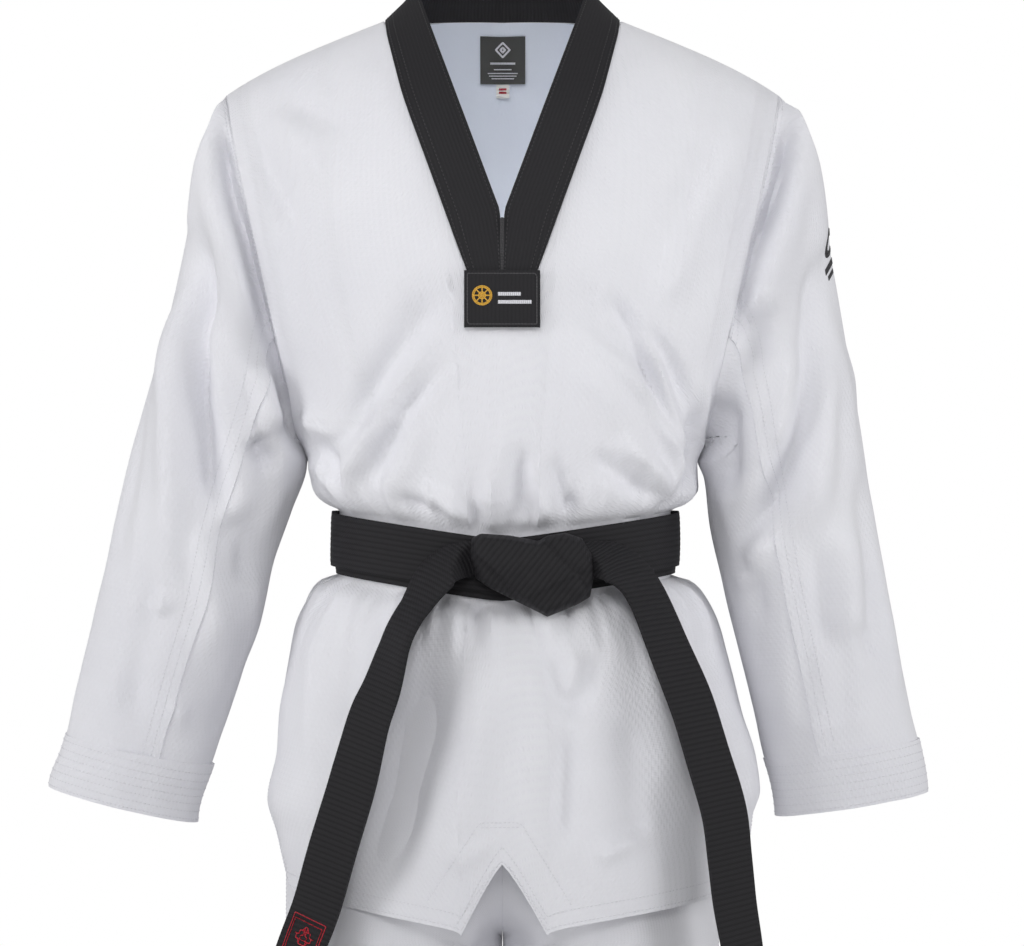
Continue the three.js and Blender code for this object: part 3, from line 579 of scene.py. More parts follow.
def body_point(angle, z, lift=0.0):
    """A point of the jacket's outer face: angle 0 is the middle of the front and 90 the left side."""
    angle, z = np.broadcast_arrays(np.asarray(angle, float), np.asarray(z, float))
    level = z - waist_shift(angle, z)
    cosine, sine = np.cos(np.radians(angle)), np.sin(np.radians(angle))
    depth = np.where(cosine >= 0, front_depth(level), back_depth(level))
    half = np.where(sine >= 0, half_left(level), half_right(level))
    x = (half + lift) * power(sine)
    y = -(depth * shoulder_round(x, z) + lift) * power(cosine)
    return np.stack([x, y, z], -1)


def half_at(x, z):
    return np.where(x >= 0, half_left(z), half_right(z))


def on_body(x, z, lift=0.0, back=False):
    """The point of the jacket at a place across and a height."""
    x, z = np.broadcast_arrays(np.asarray(x, float), np.asarray(z, float))
    angle = angle_of(x, half_at(x, z) + lift)
    return body_point(180 - angle if back else angle, z, lift)


def armhole_x(z):
    return lerp(SHOULDER_HALF, ARMPIT_HALF, np.clip((SHOULDER_Z - z) / (SHOULDER_Z - ARMPIT_Z), 0, 1))


def armhole_angle(z):
    return np.where(z > ARMPIT_Z, angle_of(armhole_x(z), half_left(z)), 90)


FREE_ANGLE = 30  # columns nearer the middle than this run straight down


def column_angle(nominal, z):
    size = np.abs(nominal)
    share = np.clip((size - FREE_ANGLE) / (90 - FREE_ANGLE), 0, 1)
    outer = np.sign(nominal) * lerp(FREE_ANGLE, armhole_angle(z), share)
    return np.where(size <= FREE_ANGLE, nominal, outer)


COLLAR_POINT_Z = -154.5
NECK_EDGE = np.array([[24.5, -200], [35.8, -169.5], [75, -61.6], [88.5, -10.5], [NECK_HALF, NECK_Z]])


def neck_edge_z(x):
    return np.interp(np.abs(x), NECK_EDGE[:, 0], NECK_EDGE[:, 1])


def back_neck_z(x):
    return lerp(BACK_NECK_Z, NECK_Z, np.clip(np.abs(x) / NECK_HALF, 0, 1) ** 2)


UNDER_COLLAR = 6  # how far the cloth goes on under the collar


def front_top(x):
    return np.where(np.abs(x) < NECK_HALF, np.minimum(neck_edge_z(x) + UNDER_COLLAR, ridge_z(x)), ridge_z(x))


def back_top(x):
    return np.where(np.abs(x) < NECK_HALF, back_neck_z(x), ridge_z(x))


NOTCH_ANGLE = float(angle_of(NOTCH_HALF, HIP_HALF))
VENT_ANGLE = 90 - VENT_HALF_ANGLE


def hem_z(angle):
    angle = np.abs(angle)
    notch = HEM_Z + NOTCH_HEIGHT * (1 - angle / NOTCH_ANGLE)
    rise = HEM_RISE * np.clip((angle - NOTCH_ANGLE) / (VENT_ANGLE - NOTCH_ANGLE), 0, 1) ** 0.6
    vent = lerp(HEM_Z + HEM_RISE, VENT_APEX_Z, (angle - VENT_ANGLE) / VENT_HALF_ANGLE)
    return np.where(angle < NOTCH_ANGLE, notch, np.where(angle < VENT_ANGLE, HEM_Z + rise, vent))


def body_panel(turn, top_edge):
    """The grid of one body panel: turn is 0 for the front and 180 for the back."""
    corners = np.array([-VENT_ANGLE, -NOTCH_ANGLE, 0, NOTCH_ANGLE, VENT_ANGLE])
    nominal = np.unique(np.concatenate([np.linspace(-90, 90, 181), corners]))
    facing = 1 if turn == 0 else -1
    angle_at = lambda z: facing * column_angle(nominal, z) + turn
    # Settles at the height where each column meets the top edge.
    top = np.full(nominal.shape, -30.0)
    for _ in range(60):
        top = lerp(top, top_edge(body_point(angle_at(top), top)[..., 0]), 0.4)
    upper = lerp(top[:, None], -300, np.linspace(0, 1, 84)[None] ** 1.3)
    middle = np.linspace(-300, -580, 94)[None, 1:] + 0 * nominal[:, None]
    middle = middle + waist_shift((nominal + turn)[:, None], middle)
    lower = lerp(middle[:, -1:], hem_z(nominal)[:, None], np.linspace(0, 1, 36)[None, 1:])
    z = np.concatenate([upper, middle, lower], 1)
    angles = facing * column_angle(nominal[:, None], z) + turn
    grid = body_point(angles, z)
    return (grid if facing > 0 else grid[::-1]), (nominal if facing > 0 else nominal[::-1])


def belt_line(angle):
    """Height of the middle of the belt round the waist."""
    return WAIST_Z + waist_dip(angle)


BELT_HOLD = 22  # the belt holds the cloth flat this far above and below its middle


def from_belt(grid):
    """The direction of each point round the waist, and its distance above or below the belt's middle."""
    angle = np.degrees(np.arctan2(grid[..., 0], -grid[..., 1]))
    return angle, np.abs(grid[..., 2] - belt_line(angle))


def gathers(grid, height, seed):
    """Small pleats that the belt draws in, fading away above and below it."""
    angle, away = from_belt(grid)
    away = away - BELT_HOLD
    rng = np.random.default_rng(seed)
    wave = 0
    for period in (7.3, 11.9, 19.1, 4.7):
        drift = rng.uniform(-0.09, 0.09)
        phase = (angle + drift * away) / period * 2 * math.pi + rng.uniform(0, 6.3)
        wave = wave + np.sin(phase) * period / 12
    return height * wave * np.exp(-((np.maximum(away, 0) / 34) ** 1.3))


CHEST_FOLDS = fold_table("""
    # drawn from the tab's lower left corner to the belt's end
    -34 -236  -66 -269  -94 -306  -112 -340  -128 -366  8 6.5 0.4 0.25
    -34 -204  -66 -232  -96 -282  -116 -322  13 -6 0.2 0.3
    -48 -262  -76 -302  -92 -346  -100 -366  9 -5 0.3 0.3
    -22 -250  -54 -290  -78 -330  -92 -362  8 2.6 0.3 0.3
    -58 -300  -70 -340  -104 -362  9 3 0 0.3
    -158 -304  -138 -312  -116 -318  6 4 0.5 0.3
    -150 -322  -132 -336  -120 -360  6 -4 0.4 0.3
    -148 -334  -138 -350  -130 -366  5 3 0.3 0.3
    # soft pull from the shoulders
    -186 -66  -160 -92  -120 -146  14 3 0.4 0.4
    -196 -88  -176 -128  -150 -178  10 -3 0.4 0.4
    -176 -56  -140 -76  -104 -92  10 -2.2 0.2 0.4
    -172 -150  -158 -220  -150 -290  16 2.4 0.2 0.4
    190 -70  160 -116  134 -172  16 3.4 0.4 0.4
    172 -76  146 -126  124 -168  12 -3.4 0.3 0.4
    150 -150  128 -200  104 -214  12 2.8 0.3 0.4
    # drawn from the tab's right corner to the right end of the belt
    46 -196  76 -240  92 -272  10 -4.5 0.3 0.35
    40 -256  72 -284  104 -326  124 -366  11 3 0.3 0.3
    58 -232  92 -268  116 -296  131 -346  134 -368  6 6 -0.5 0.2
    76 -206  100 -238  116 -282  130 -322  6.5 -7 -0.5 0.22
    92 -232  108 -252  124 -296  138 -340  5 5 0.3 0.25
    104 -232  126 -262  142 -306  6 -5 0.3 0.3
    84 -318  108 -346  132 -368  7 5 0.5 0.3
    64 -330  92 -352  122 -370  7 -4 0.3 0.3
    148 -290  142 -330  136 -364  5 -4 0.3 0.3
    156 -262  152 -300  146 -346  6 3 0 0.3
    # gathers over the knot
    0 -306  -6 -346  -20 -384  7 3 0.3 0.3
    14 -322  13 -356  18 -388  7 -3.6 0.3 0.3
    22 -330  27 -366  38 -388  5 3.4 0.3 0.3
    38 -330  42 -360  58 -384  6 -3 0.3 0.3
    -66 -356  -40 -372  -20 -388  5 3.4 0.4 0.3
    -84 -362  -56 -378  -34 -388  4 -3 0.3 0.3
    40 -388  66 -384  96 -378  4 3.2 0 0.3
""")
SKIRT_FOLDS = fold_table("""
    -52 -450  -66 -520  -84 -600  -104 -684  28 -13 0.3 0.4
    -18 -460  -26 -540  -44 -610  -62 -674  22 5 0.3 0.35
    30 -466  44 -518  48 -534  9 -4 0.2 0.35
    70 -476  56 -516  50 -540  8 -4 0.2 0.35
    50 -528  46 -580  44 -636  10 -4.5 0.2 0.3
    58 -480  52 -508  49 -520  6 3 0 0.3
    88 -524  94 -572  94 -620  13 -2.6 0.2 0.3
    68 -640  88 -628  104 -620  7 3 0.5 0.3
    78 -620  96 -612  112 -616  7 -2.4 0.2 0.3
    -142 -444  -146 -520  -146 -600  9 2.2 0.3 0.3
    112 -450  120 -520  128 -600  16 3 0 0.3
    150 -452  166 -500  176 -560  10 -3.4 0.2 0.3
    -36 -642  -20 -632  -8 -634  6 2 0.3 0.3
    -118 -440  -118 -500  -124 -560  12 -2.4 0.2 0.3
""")
BACK_FOLDS = fold_table("""
    -60 -120  -30 -230  -40 -350  26 -4 0.2 0.3
    70 -110  60 -240  20 -370  22 4 0.3 0.3
    140 -180  110 -280  90 -368  14 -5 0.3 0.3
    -146 -190  -118 -290  -84 -370  14 5 0.3 0.3
    -120 -250  -90 -320  -56 -372  10 -4.5 0.3 0.3
    20 -250  0 -330  -4 -372  10 4 0.3 0.3
    120 -120  80 -150  0 -160  -90 -146  20 2.4 0.2 0.3
    -70 -440  -84 -540  -92 -650  18 5 0.3 0.2
    -30 -446  -34 -560  -50 -660  18 -5 0.3 0.2
    50 -440  60 -540  70 -660  18 -5 0.3 0.2
    96 -440  112 -540  128 -650  16 5 0.3 0.2
""")

front_grid, front_columns = body_panel(0, front_top)
back_grid, back_columns = body_panel(180, back_top)


def softened(values, passes=3):
    """Rounds off what is narrower than about two cells of the grid."""
    for _ in range(passes):
        near = np.pad(values, 1, mode="edge")
        values = (near[:-2, 1:-1] + near[2:, 1:-1] + near[1:-1, :-2] + near[1:-1, 2:] + 4 * values) / 8
    return values


def body_relief(grid, columns, strokes, seed):
    """How far the body's cloth stands off its plain shape."""
    x, z = grid[..., 0], grid[..., 2]
    seam = 1 - smoothstep(np.abs(columns), 80, 90)[:, None]
    top = smoothstep(np.cumsum(np.ones(grid.shape[1])), 2, 14)[None]
    # The belt presses the cloth flat.
    free = smoothstep(from_belt(grid)[1], BELT_HOLD, 40)
    soft = rumple(grid, (70, 70, 110), seed) * 2.0 + rumple(grid, (28, 28, 44), seed + 9) * 0.5
    drawn = softened(2.1 * folds(x, z, strokes)) + 1.3 * soft
    return drawn * seam * top * free + gathers(grid, 2.2, seed) * free * seam


front_plain, back_plain = front_grid, back_grid
front_grid = raised(front_grid, body_relief(front_grid, front_columns, CHEST_FOLDS + SKIRT_FOLDS, 3))
back_grid = raised(back_grid, body_relief(back_grid, back_columns, BACK_FOLDS, 17))
front_grid[..., 1] = np.minimum(front_grid[..., 1], -0.25)
back_grid[..., 1] = np.maximum(back_grid[..., 1], 0.25)

jacket_front = cloth("jacket_front_cloth", front_grid, CLOTH, JACKET_CLOTH)
jacket_back = cloth("jacket_back_cloth", back_grid, CLOTH, JACKET_CLOTH, inside=INSIDE_PAINTED_SHADE_CLOTH)


# ---------------------------------------------------------------- hems, notch and vents
HEM_FOLD = 13
FACING_GAP, FACING_WALL = 0.7, 0.8


def jacket_lines(grid, tree, facing):
    """Stitching on one body panel: two hem rows, and the outline of the notch's facing."""
    outlines = ([(-56, -667), (-17, -608), (14, -608), (52, -670)], [(-16, -611.5), (13, -611.5)],
                [(-5, -640), (-34, -684)], [(5, -640), (34, -684)])
    return [edge_stitches(grid, HEM_FOLD), edge_stitches(grid, 3),
            *[laid_stitches(tree, outline, facing) for outline in outlines]]


front_surface, back_surface = surface(jacket_front), surface(jacket_back)
front_stitches = sewing("jacket_front_stitching", jacket_lines(front_grid, front_surface, -1),
                        WHITE_THREAD, "white_trim")
back_stitches = sewing("jacket_back_stitching", jacket_lines(back_grid, back_surface, 1),
                       WHITE_THREAD, "white_trim")
placed(jacket_front, "garment", "cotton_cloth", "jacket_front")
placed(jacket_back, "garment", "cotton_cloth", "jacket_back")
cut(front_plain)
cut(back_plain)


def facing(name, strip, normals, reach, sewn_to, replaced):
    """The facing sewn inside an edge: reach gives how far up it goes for each column of the strip."""
    rows = []
    for share in np.linspace(1, 0, 12):
        line = [row_from_edge(strip[i : i + 1], 1.5 + share * reach[i])[0] for i in range(len(strip))]
        rows.append(np.array(line) - normals * (CLOTH + FACING_GAP))
    sewn_sheet(name, np.stack(rows, 1), FACING_WALL, JACKET_CLOTH, "cotton_cloth", replaced)


front_inward, back_inward = grid_normals(front_grid)[:, -1], grid_normals(back_grid)[:, -1]
for name, grid, inward, columns, panel in (
    ("front", front_grid, front_inward, front_columns, jacket_front),
    ("back", back_grid, back_inward, back_columns, jacket_back),
):
    near = np.abs(columns) < 17
    facing(f"{name}_notch_facing_cloth", grid[near], inward[near],
           np.interp(np.abs(columns[near]), [0, 12, 26], [32, 70, 24]), panel, f"{name}_notch_facing")
for name, sign in (("left", 1), ("right", -1)):
    order = slice(None) if sign > 0 else slice(None, None, -1)
    parts = [(front_grid, front_inward, front_columns), (back_grid, back_inward, back_columns)][order]
    kept = [columns * sign > 66 for _, _, columns in parts]
    strip, inward = (np.concatenate([part[k][keep] for part, keep in zip(parts, kept)]) for k in (0, 1))
    facing(f"{name}_vent_facing_cloth", strip, inward, np.full(len(strip), 22.0), jacket_front,
           f"{name}_vent_facing")

# ---------------------------------------------------------------- sleeves
UNDERARM_HALF_ANGLE = 70
CUFF_HEIGHT = 42
BAND = 2.6
# half depths of the sleeve, front to back
ARMHOLE_DEPTH, ELBOW_DEPTH, CUFF_DEPTH = 76, 68, 43


class Sleeve:
    """One sleeve as rings between its outer and inner line, from the armhole to the cuff."""

    def __init__(self, name, sign, outer, inner, seams, strokes, back_strokes, seed):
        self.name, self.sign, self.seed = name, sign, seed
        self.outer, self.inner = profile(outer), profile(inner)
        self.outer_z, self.inner_z = outer[-1][0], inner[-1][0]
        self.strokes, self.back_strokes, self.seams = strokes, back_strokes, seams
        length = math.hypot(outer[-1][1] - SHOULDER_HALF, self.outer_z - SHOULDER_Z)
        self.cuff_share = 1 - CUFF_HEIGHT / length

    def point(self, share, angle, lift=0.0):
        """Angle 0 is the outer line, 90 the back and 180 the underarm line."""
        share, angle = np.broadcast_arrays(np.asarray(share, float), np.asarray(angle, float))
        outer_z = lerp(SHOULDER_Z, self.outer_z, share)
        inner_z = lerp(ARMPIT_Z, self.inner_z, share**2.2)
        outer = np.stack([self.outer(outer_z), outer_z], -1)
        inner = np.stack([self.inner(inner_z), inner_z], -1)
        upper_depth = lerp(ARMHOLE_DEPTH, ELBOW_DEPTH, np.minimum(share * 2, 1))
        depth = lerp(upper_depth, CUFF_DEPTH, np.clip(share * 2 - 1, 0, 1))
        cosine, sine = np.cos(np.radians(angle)), np.sin(np.radians(angle))
        half = np.linalg.norm(outer - inner, axis=-1) / 2
        along = unit(outer - inner)
        flat = (outer + inner) / 2 + along * ((half + lift) * cosine)[..., None]
        at_body = armhole_angle(flat[..., 1])
        seat = body_point(np.where(sine < 0, at_body, 180 - at_body), flat[..., 1])[..., 1]
        rounded = (depth + lift) * np.sign(sine) * np.abs(sine) ** 0.9
        y = lerp(seat, rounded, smoothstep(share, 0, 0.25))
        return np.stack([self.sign * (flat[..., 0] + 0.15), y, flat[..., 1]], -1)

    def grid(self, shares, angles, lift=0.0):
        made = self.point(np.asarray(shares)[None, :], np.asarray(angles)[:, None], lift)
        return made if self.sign > 0 else made[::-1]

    def relief(self, grid, shares):
        """How far the sleeve's cloth stands off its plain shape."""
        x, z = grid[..., 0] * self.sign, grid[..., 2]
        front = smoothstep(-grid[..., 1], 2, 34)
        back = smoothstep(grid[..., 1], 2, 34)
        soft = rumple(grid, (24, 30, 150), self.seed) * 2.6
        soft = soft + rumple(grid, (22, 22, 34), self.seed + 5) * 0.8
        soft = soft * (0.35 + 0.65 * np.maximum(front, back))
        ends = smoothstep(np.asarray(shares), 0.0, 0.022)[None]
        cuff = 1 - 0.8 * smoothstep(np.asarray(shares), self.cuff_share - 0.08, self.cuff_share)[None]
        pulled = folds(x, z, self.strokes) * front + folds(x, z, self.back_strokes) * back
        return (2.15 * pulled + 1.25 * soft) * ends * cuff


LEFT_FOLDS = fold_table("""
    213 -64  209 -125  187 -172  179 -195  172 -240  9 -9 0.4 0.15
    228 -84  222 -140  204 -196  196 -236  13 5 0.2 0.3
    179 -222  191 -244  188 -270  11 -4.5 0.2 0.3
    186 -214  204 -218  214 -216  8 3 0.4 0.3
    248 -160  238 -237  228 -318  209 -356  186 -388  170 -410  12 -9 0.4 0.2
    220 -244  214 -306  208 -340  9 5 0.2 0.3
    250 -236  246 -300  240 -366  226 -404  14 6 -0.3 0.3
    172 -280  168 -330  166 -370  14 -6 0.2 0.3
    260 -376  263 -430  264 -484  11 4 0.3 0.3
    238 -392  244 -440  246 -500  10 -3.6 0.3 0.3
    206 -392  192 -412  182 -440  8 4 0.3 0.3
    176 -404  190 -432  196 -470  8 -4 0.3 0.3
    276 -330  284 -420  292 -500  12 -3 0.2 0.3
    272 -462  280 -480  284 -498  6 -2.4 0.3 0.3
    220 -540  250 -546  290 -534  8 2 0.3 0.3
""")
RIGHT_FOLDS = fold_table("""
    213 -66  209 -129  194 -171  179 -229  160 -298  152 -334  9 -8.5 -0.4 0.15
    226 -98  216 -150  200 -204  186 -250  11 5 0.2 0.3
    238 -150  236 -222  230 -298  223 -360  208 -388  12 -9.5 -0.4 0.2
    250 -200  250 -300  250 -380  253 -454  12 5.5 0.3 0.3
    229 -214  221 -275  217 -322  10 5 0.2 0.3
    186 -262  178 -300  170 -318  8 5 0.2 0.3
    188 -318  180 -334  170 -340  9 -7 0.2 0.3
    212 -374  196 -402  186 -440  16 -5 0.2 0.3
    232 -380  222 -440  216 -490  10 4 0.2 0.3
    268 -440  262 -448  256 -456  7 3 0.2 0.35
    252 -520  246 -534  240 -536  7 2.6 0.2 0.35
    282 -240  292 -340  306 -440  12 -2.4 0.2 0.3
    262 -400  276 -480  290 -560  12 -2.6 0.2 0.3
    218 -560  250 -566  290 -556  8 2 0.3 0.3
""")
SLEEVE_BACK_FOLDS = fold_table("""
    222 -90  206 -170  180 -250  164 -310  12 -6 0.3 0.2
    240 -150  236 -240  226 -330  196 -390  14 -6 0.3 0.2
    256 -220  262 -320  270 -420  14 5 0.3 0.3
    220 -260  206 -330  180 -370  10 5 0.3 0.3
    190 -380  222 -420  252 -436  10 -4 0.3 0.3
    196 -400  226 -450  262 -480  10 4 0.3 0.3
    280 -380  288 -460  300 -540  12 -3.6 0.3 0.3
""")
SLEEVES = [
    Sleeve("left", 1,
           [(SHOULDER_Z, 215), (-67, 229), (-105, 243), (-143, 251), (-195, 259), (-284, 274),
            (-347, 285), (-446, 302), (-530, 318), (-595, 331)],
           [(ARMPIT_Z, 152), (-352, 158), (-391, 164), (-446, 175), (-506, 190), (-556, 201), (-614, 213)],
           [(191, -256), (209, -352), (216, -448), (238, -550)], LEFT_FOLDS, SLEEVE_BACK_FOLDS, 31),
    Sleeve("right", -1,
           [(SHOULDER_Z, 215), (-72, 225), (-105, 236), (-157, 245), (-195, 253), (-258, 269),
            (-347, 293), (-438, 314), (-477, 323), (-562, 343), (-591, 352)],
           [(ARMPIT_Z, 152), (-376, 165), (-415, 178), (-462, 188), (-503, 204), (-565, 224), (-619, 239)],
           [(183, -256), (217, -364), (240, -514), (256, -570)], RIGHT_FOLDS, SLEEVE_BACK_FOLDS, 47),
]


def bends_at_armhole(piece, side):
    """Bakes the piece's transform into its mesh."""
    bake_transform(piece)


LAP_ANGLE = 5.0  # half width of the lapped seam, in degrees round the sleeve
for side in SLEEVES:
    under = 180 - UNDERARM_HALF_ANGLE
    shares = np.linspace(0, 1, 118) ** 1.05 * side.cuff_share
    upper_angles = np.linspace(-under, under, 69)
    under_angles = np.linspace(under, 360 - under, 45)
    upper = upper_plain = side.grid(shares, upper_angles)
    from_seam = np.minimum(np.abs(upper_angles + under), np.abs(upper_angles - under))
    lapped = np.exp(-((from_seam / LAP_ANGLE) ** 4))
    upper = raised(upper, side.relief(upper, shares) + 1.1 * lapped[:, None])
    underarm = underarm_plain = side.grid(shares, under_angles)
    underarm = raised(underarm, side.relief(underarm, shares))
    pieces = []
    for name, grid in (("sleeve", upper), ("underarm_panel", underarm)):
        # The seam allowance goes in under the body's edge.
        top, inward = grid[:, :1], grid_normals(grid)[:, :1]
        turned = [top - inward * 2.6 - np.array([side.sign * 1.7, 0, 0]), top - inward * 1.9]
        grid = np.concatenate([*turned, grid], 1)
        piece = cloth(f"{side.name}_{name}_cloth", grid, CLOTH, JACKET_CLOTH)
        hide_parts(f"{side.name}_{name}")
        pieces.append(piece)
    side.tree = surface(pieces[0])
    last = len(upper) - 1
    seam_lines = [column_stitches(upper, c) for c in (0, 2, 4, last, last - 2, last - 4)]
    seam_lines += [edge_stitches(upper, d, last=False) for d in (3, 9)]
    seam = stitches(f"{side.name}_sleeve_stitching", seam_lines, WHITE_THREAD)
    cut(upper_plain)
    cut(underarm_plain)
    for piece in (*pieces, seam):
        bends_at_armhole(piece, side)

    cuff_shares = np.linspace(side.cuff_share, 1, 14)
    cuff_angles = np.linspace(0, 360, 120, endpoint=False)
    cuff = cuff_plain = side.grid(cuff_shares, cuff_angles, 0.8)
    wave = rumple(cuff, (24, 30, 60), side.seed) * 1.4
    cuff = raised(cuff, wave + 0.3, closed=True)
    rows = [edge_stitches(cuff, d, closed=True) for d in (2.5, 8.5, 14.5, 20.5, 26.5, 32.5, 39)]
    sewn_sheet(f"{side.name}_cuff_cloth", cuff, BAND, JACKET_CLOTH, "cotton_cloth", f"{side.name}_cuff_band",
               cuff_plain, white_rows(rows), closed=True, body=f"{side.name}_arm")

# ---------------------------------------------------------------- collar
COLLAR_LIFT = 3.0
COLLAR_WALL = 2.4


def front_band(sign):
    """One half of the front band: columns from the sewn edge to the free edge, rows downwards."""
    share = np.linspace(1, 0, 70)
    outer_x = np.interp(share, np.linspace(0, 1, 5), NECK_EDGE[:, 0]) + 0.3
    outer_z = np.interp(share, np.linspace(0, 1, 5), NECK_EDGE[:, 1])
    kernel = np.ones(7) / 7
    pad = lambda v: np.convolve(np.pad(v, 3, mode="reflect", reflect_type="odd"), kernel, "valid")
    outer_x, outer_z = pad(outer_x), pad(outer_z)
    inner_x = np.maximum(0.15, NECK_HALF * 0.66 * (outer_z - COLLAR_POINT_Z) / (NECK_Z - COLLAR_POINT_Z))
    inner_z = outer_z + 2 * share
    edge = on_body(sign * outer_x, outer_z, COLLAR_LIFT)
    free = on_body(sign * inner_x, inner_z, COLLAR_LIFT)
    roll = (share**3)[:, None]
    free = lerp(free, np.array([sign * NECK_HALF * 0.73, -0.25, NECK_Z + 26]), roll)
    edge[0, 1] = -0.25
    t = np.linspace(0, 1, 15)[:, None, None]
    grid = lerp(edge[None], free[None], t)
    grid[..., 1] -= 1.3 * np.sin(np.pi * t[..., 0]) * (1 - share[None] ** 4)
    return grid[::-1] if sign > 0 else grid


def back_band():
    t = np.linspace(1, -1, 81)
    x = t * (NECK_HALF - 0.5)
    foot = on_body(x, back_neck_z(x), COLLAR_LIFT - 1.2, back=True)
    foot[:, 1] = np.maximum(foot[:, 1], 0.25)
    foot[:, 2] = back_neck_z(x) - 1
    lean = lerp(0.86, 0.73, t**2)
    rise = lerp(38, 27, t**2)
    top = np.stack([x * lean, lerp(foot[:, 1] - 6, 0.25, t**4), foot[:, 2] + rise], -1)
    share = np.linspace(1, 0, 12)[None, :, None]
    grid = lerp(foot[:, None], top[:, None], share)
    grid[..., 1] += 1.6 * np.sin(np.pi * share[..., 0]) * (1 - t[:, None] ** 4)
    return grid


for name, sign in (("collar_left", 1), ("collar_right", -1)):
    band = front_band(sign)
    rows = [column_stitches(band, c) for c in (1, len(band) - 2, 3 if sign < 0 else len(band) - 4)]
    sewn_sheet(f"{name}_band", band, COLLAR_WALL, COLLAR_CLOTH, "black_band", name,
               rows=dark_rows(rows))
back_collar = back_band()
rows = [edge_stitches(back_collar, d, last) for d, last in ((3, True), (3, False), (9, True))]
sewn_sheet("collar_back_band", back_collar, COLLAR_WALL, COLLAR_CLOTH, "black_band", "collar_back",
           rows=dark_rows(rows))

# The two halves of the front band meet in a mitred seam below the V.
mitre = on_body(np.zeros(12), np.linspace(-155.5, -199, 12), COLLAR_LIFT - 0.2)
forwards = np.tile([0.0, -1.0, 0.0], (12, 1))
sewing("collar_mitre_stitching", [stitch_line(mitre + (dx, 0, 0), forwards, 2.0) for dx in (-0.5, 0.5)],
       COLLAR_THREAD, "black_band", length=3.4, width=2.2, height=0.9)

# ---------------------------------------------------------------- tab and labels
def flat_patch(rows, columns, width, top, height, lift, back=False):
    """A grid laid on the body: a width across the middle, and a height down from the top."""
    x = np.linspace(-width / 2, width / 2, columns)
    z = np.linspace(top, top - height, rows)
    grid = on_body(x[:, None], z[None, :], lift, back)
    return grid[::-1] if back else grid


def ring(centre, radius, count=28):
    turn = np.linspace(0, 2 * math.pi, count + 1)
    return np.stack([centre[0] + radius * np.cos(turn), centre[1] + radius * np.sin(turn)], -1)


def sewn_shape(name, outlines, lift, material, slot, back=False, pitch=1.5):
    """Embroidery: lines of stitches laid on the body at a lift. Each outline is [x, height] points."""
    lines = []
    for outline in outlines:
        flat = np.array(outline, float)
        points = on_body(flat[:, 0], flat[:, 1], lift, back)
        lines.append(stitch_line(points, np.tile([0.0, -1.0, 0.0], (len(points), 1)), pitch))
    sewing(name, lines, material, slot, length=pitch * 1.25, width=0.9, height=0.5)


TAB_LIFT, TAB_WALL = COLLAR_LIFT + 3.4, 2.4
TAB_TOP, TAB_WIDTH, TAB_HEIGHT = -195, 57, 43
tab_grid = flat_patch(18, 24, TAB_WIDTH, TAB_TOP, TAB_HEIGHT, TAB_LIFT)
arch = [np.sin(np.linspace(0, np.pi, count)) for count in (24, 18)]
tab_grid[:, :, 1] -= 0.8 * (arch[0][:, None] * arch[1][None]) ** 0.4
sewn_sheet("chest_tab_patch", tab_grid, TAB_WALL, COLLAR_CLOTH, "black_band", "chest_tab")
border = [(x, TAB_TOP - down) for x, down in ((-26, 2.5), (26, 2.5), (26, 40.5), (-26, 40.5), (-26, 2.5))]
sewn_shape("chest_tab_border", [spaced(np.array(border), 3)[0]], TAB_LIFT + 0.5, BLACK_THREAD,
           "black_band", pitch=2.4)
emblem_centre = (-15.0, TAB_TOP - 19)
gold = [ring(emblem_centre, r) for r in (7.2, 6.2, 2.6, 1.6, 0.7)]
gold += [[(emblem_centre[0] + r * math.cos(a), emblem_centre[1] + r * math.sin(a)) for r in (2.6, 6.6)]
         for a in np.linspace(0, 2 * math.pi, 8, endpoint=False)]
sewn_shape("chest_tab_emblem", gold, TAB_LIFT + 0.9, GOLD_THREAD, "woven_label")
bars = [[(-3, height - 0.9 * k), (end, height - 0.9 * k)]
        for height, end in ((TAB_TOP - 17, 14), (TAB_TOP - 23, 22)) for k in range(3)]
sewn_shape("chest_tab_bars", bars, TAB_LIFT + 0.9, WHITE_THREAD, "white_trim")

LABEL_TOP, LABEL_SIZE, LABEL_WALL = 1, 36, 0.8
LABEL_LIFT = -CLOTH - LABEL_WALL
label_grid = flat_patch(14, 14, LABEL_SIZE, LABEL_TOP, LABEL_SIZE, LABEL_LIFT, back=True)
sewn_sheet("neck_label_woven", label_grid, LABEL_WALL, LABEL_CLOTH, "woven_label", "neck_label")
print_lift = LABEL_LIFT - LABEL_WALL - 0.3
diamond = lambda r: [(r * c, LABEL_TOP - 10 + r * s) for c, s in ((1, 0), (0, 1), (-1, 0), (0, -1), (1, 0))]
marks = [diamond(r) for r in (6.0, 5.1, 2.4, 1.4)]
marks += [[(-w / 2, LABEL_TOP - h), (w / 2, LABEL_TOP - h)]
          for w, h in ((20, 20), (20, 20.8), (14, 25), (24, 28), (22, 30), (18, 32))]
sewn_shape("neck_label_marks", marks, print_lift, WHITE_THREAD, "white_trim", back=True, pitch=1.2)
SIZE_TOP, SIZE_WIDTH = LABEL_TOP - LABEL_SIZE - 0.4, 10.5
size_grid = flat_patch(6, 6, SIZE_WIDTH, SIZE_TOP, SIZE_WIDTH, LABEL_LIFT, back=True)
sewn_sheet("size_tab_woven", size_grid, LABEL_WALL, ELASTIC_CLOTH, "white_trim", "size_tab")
size_marks = [[(-3, SIZE_TOP - h), (3, SIZE_TOP - h)] for h in (3.4, 4.2, 6.0, 6.8)]
sewn_shape("size_tab_marks", size_marks, print_lift, RED_THREAD, "red_thread", back=True, pitch=1.2)

# ---------------------------------------------------------------- belt
BELT_WIDTH, BELT, BELT_STAGGER, TURN_GAP = 41, 3.2, 6, 0.4


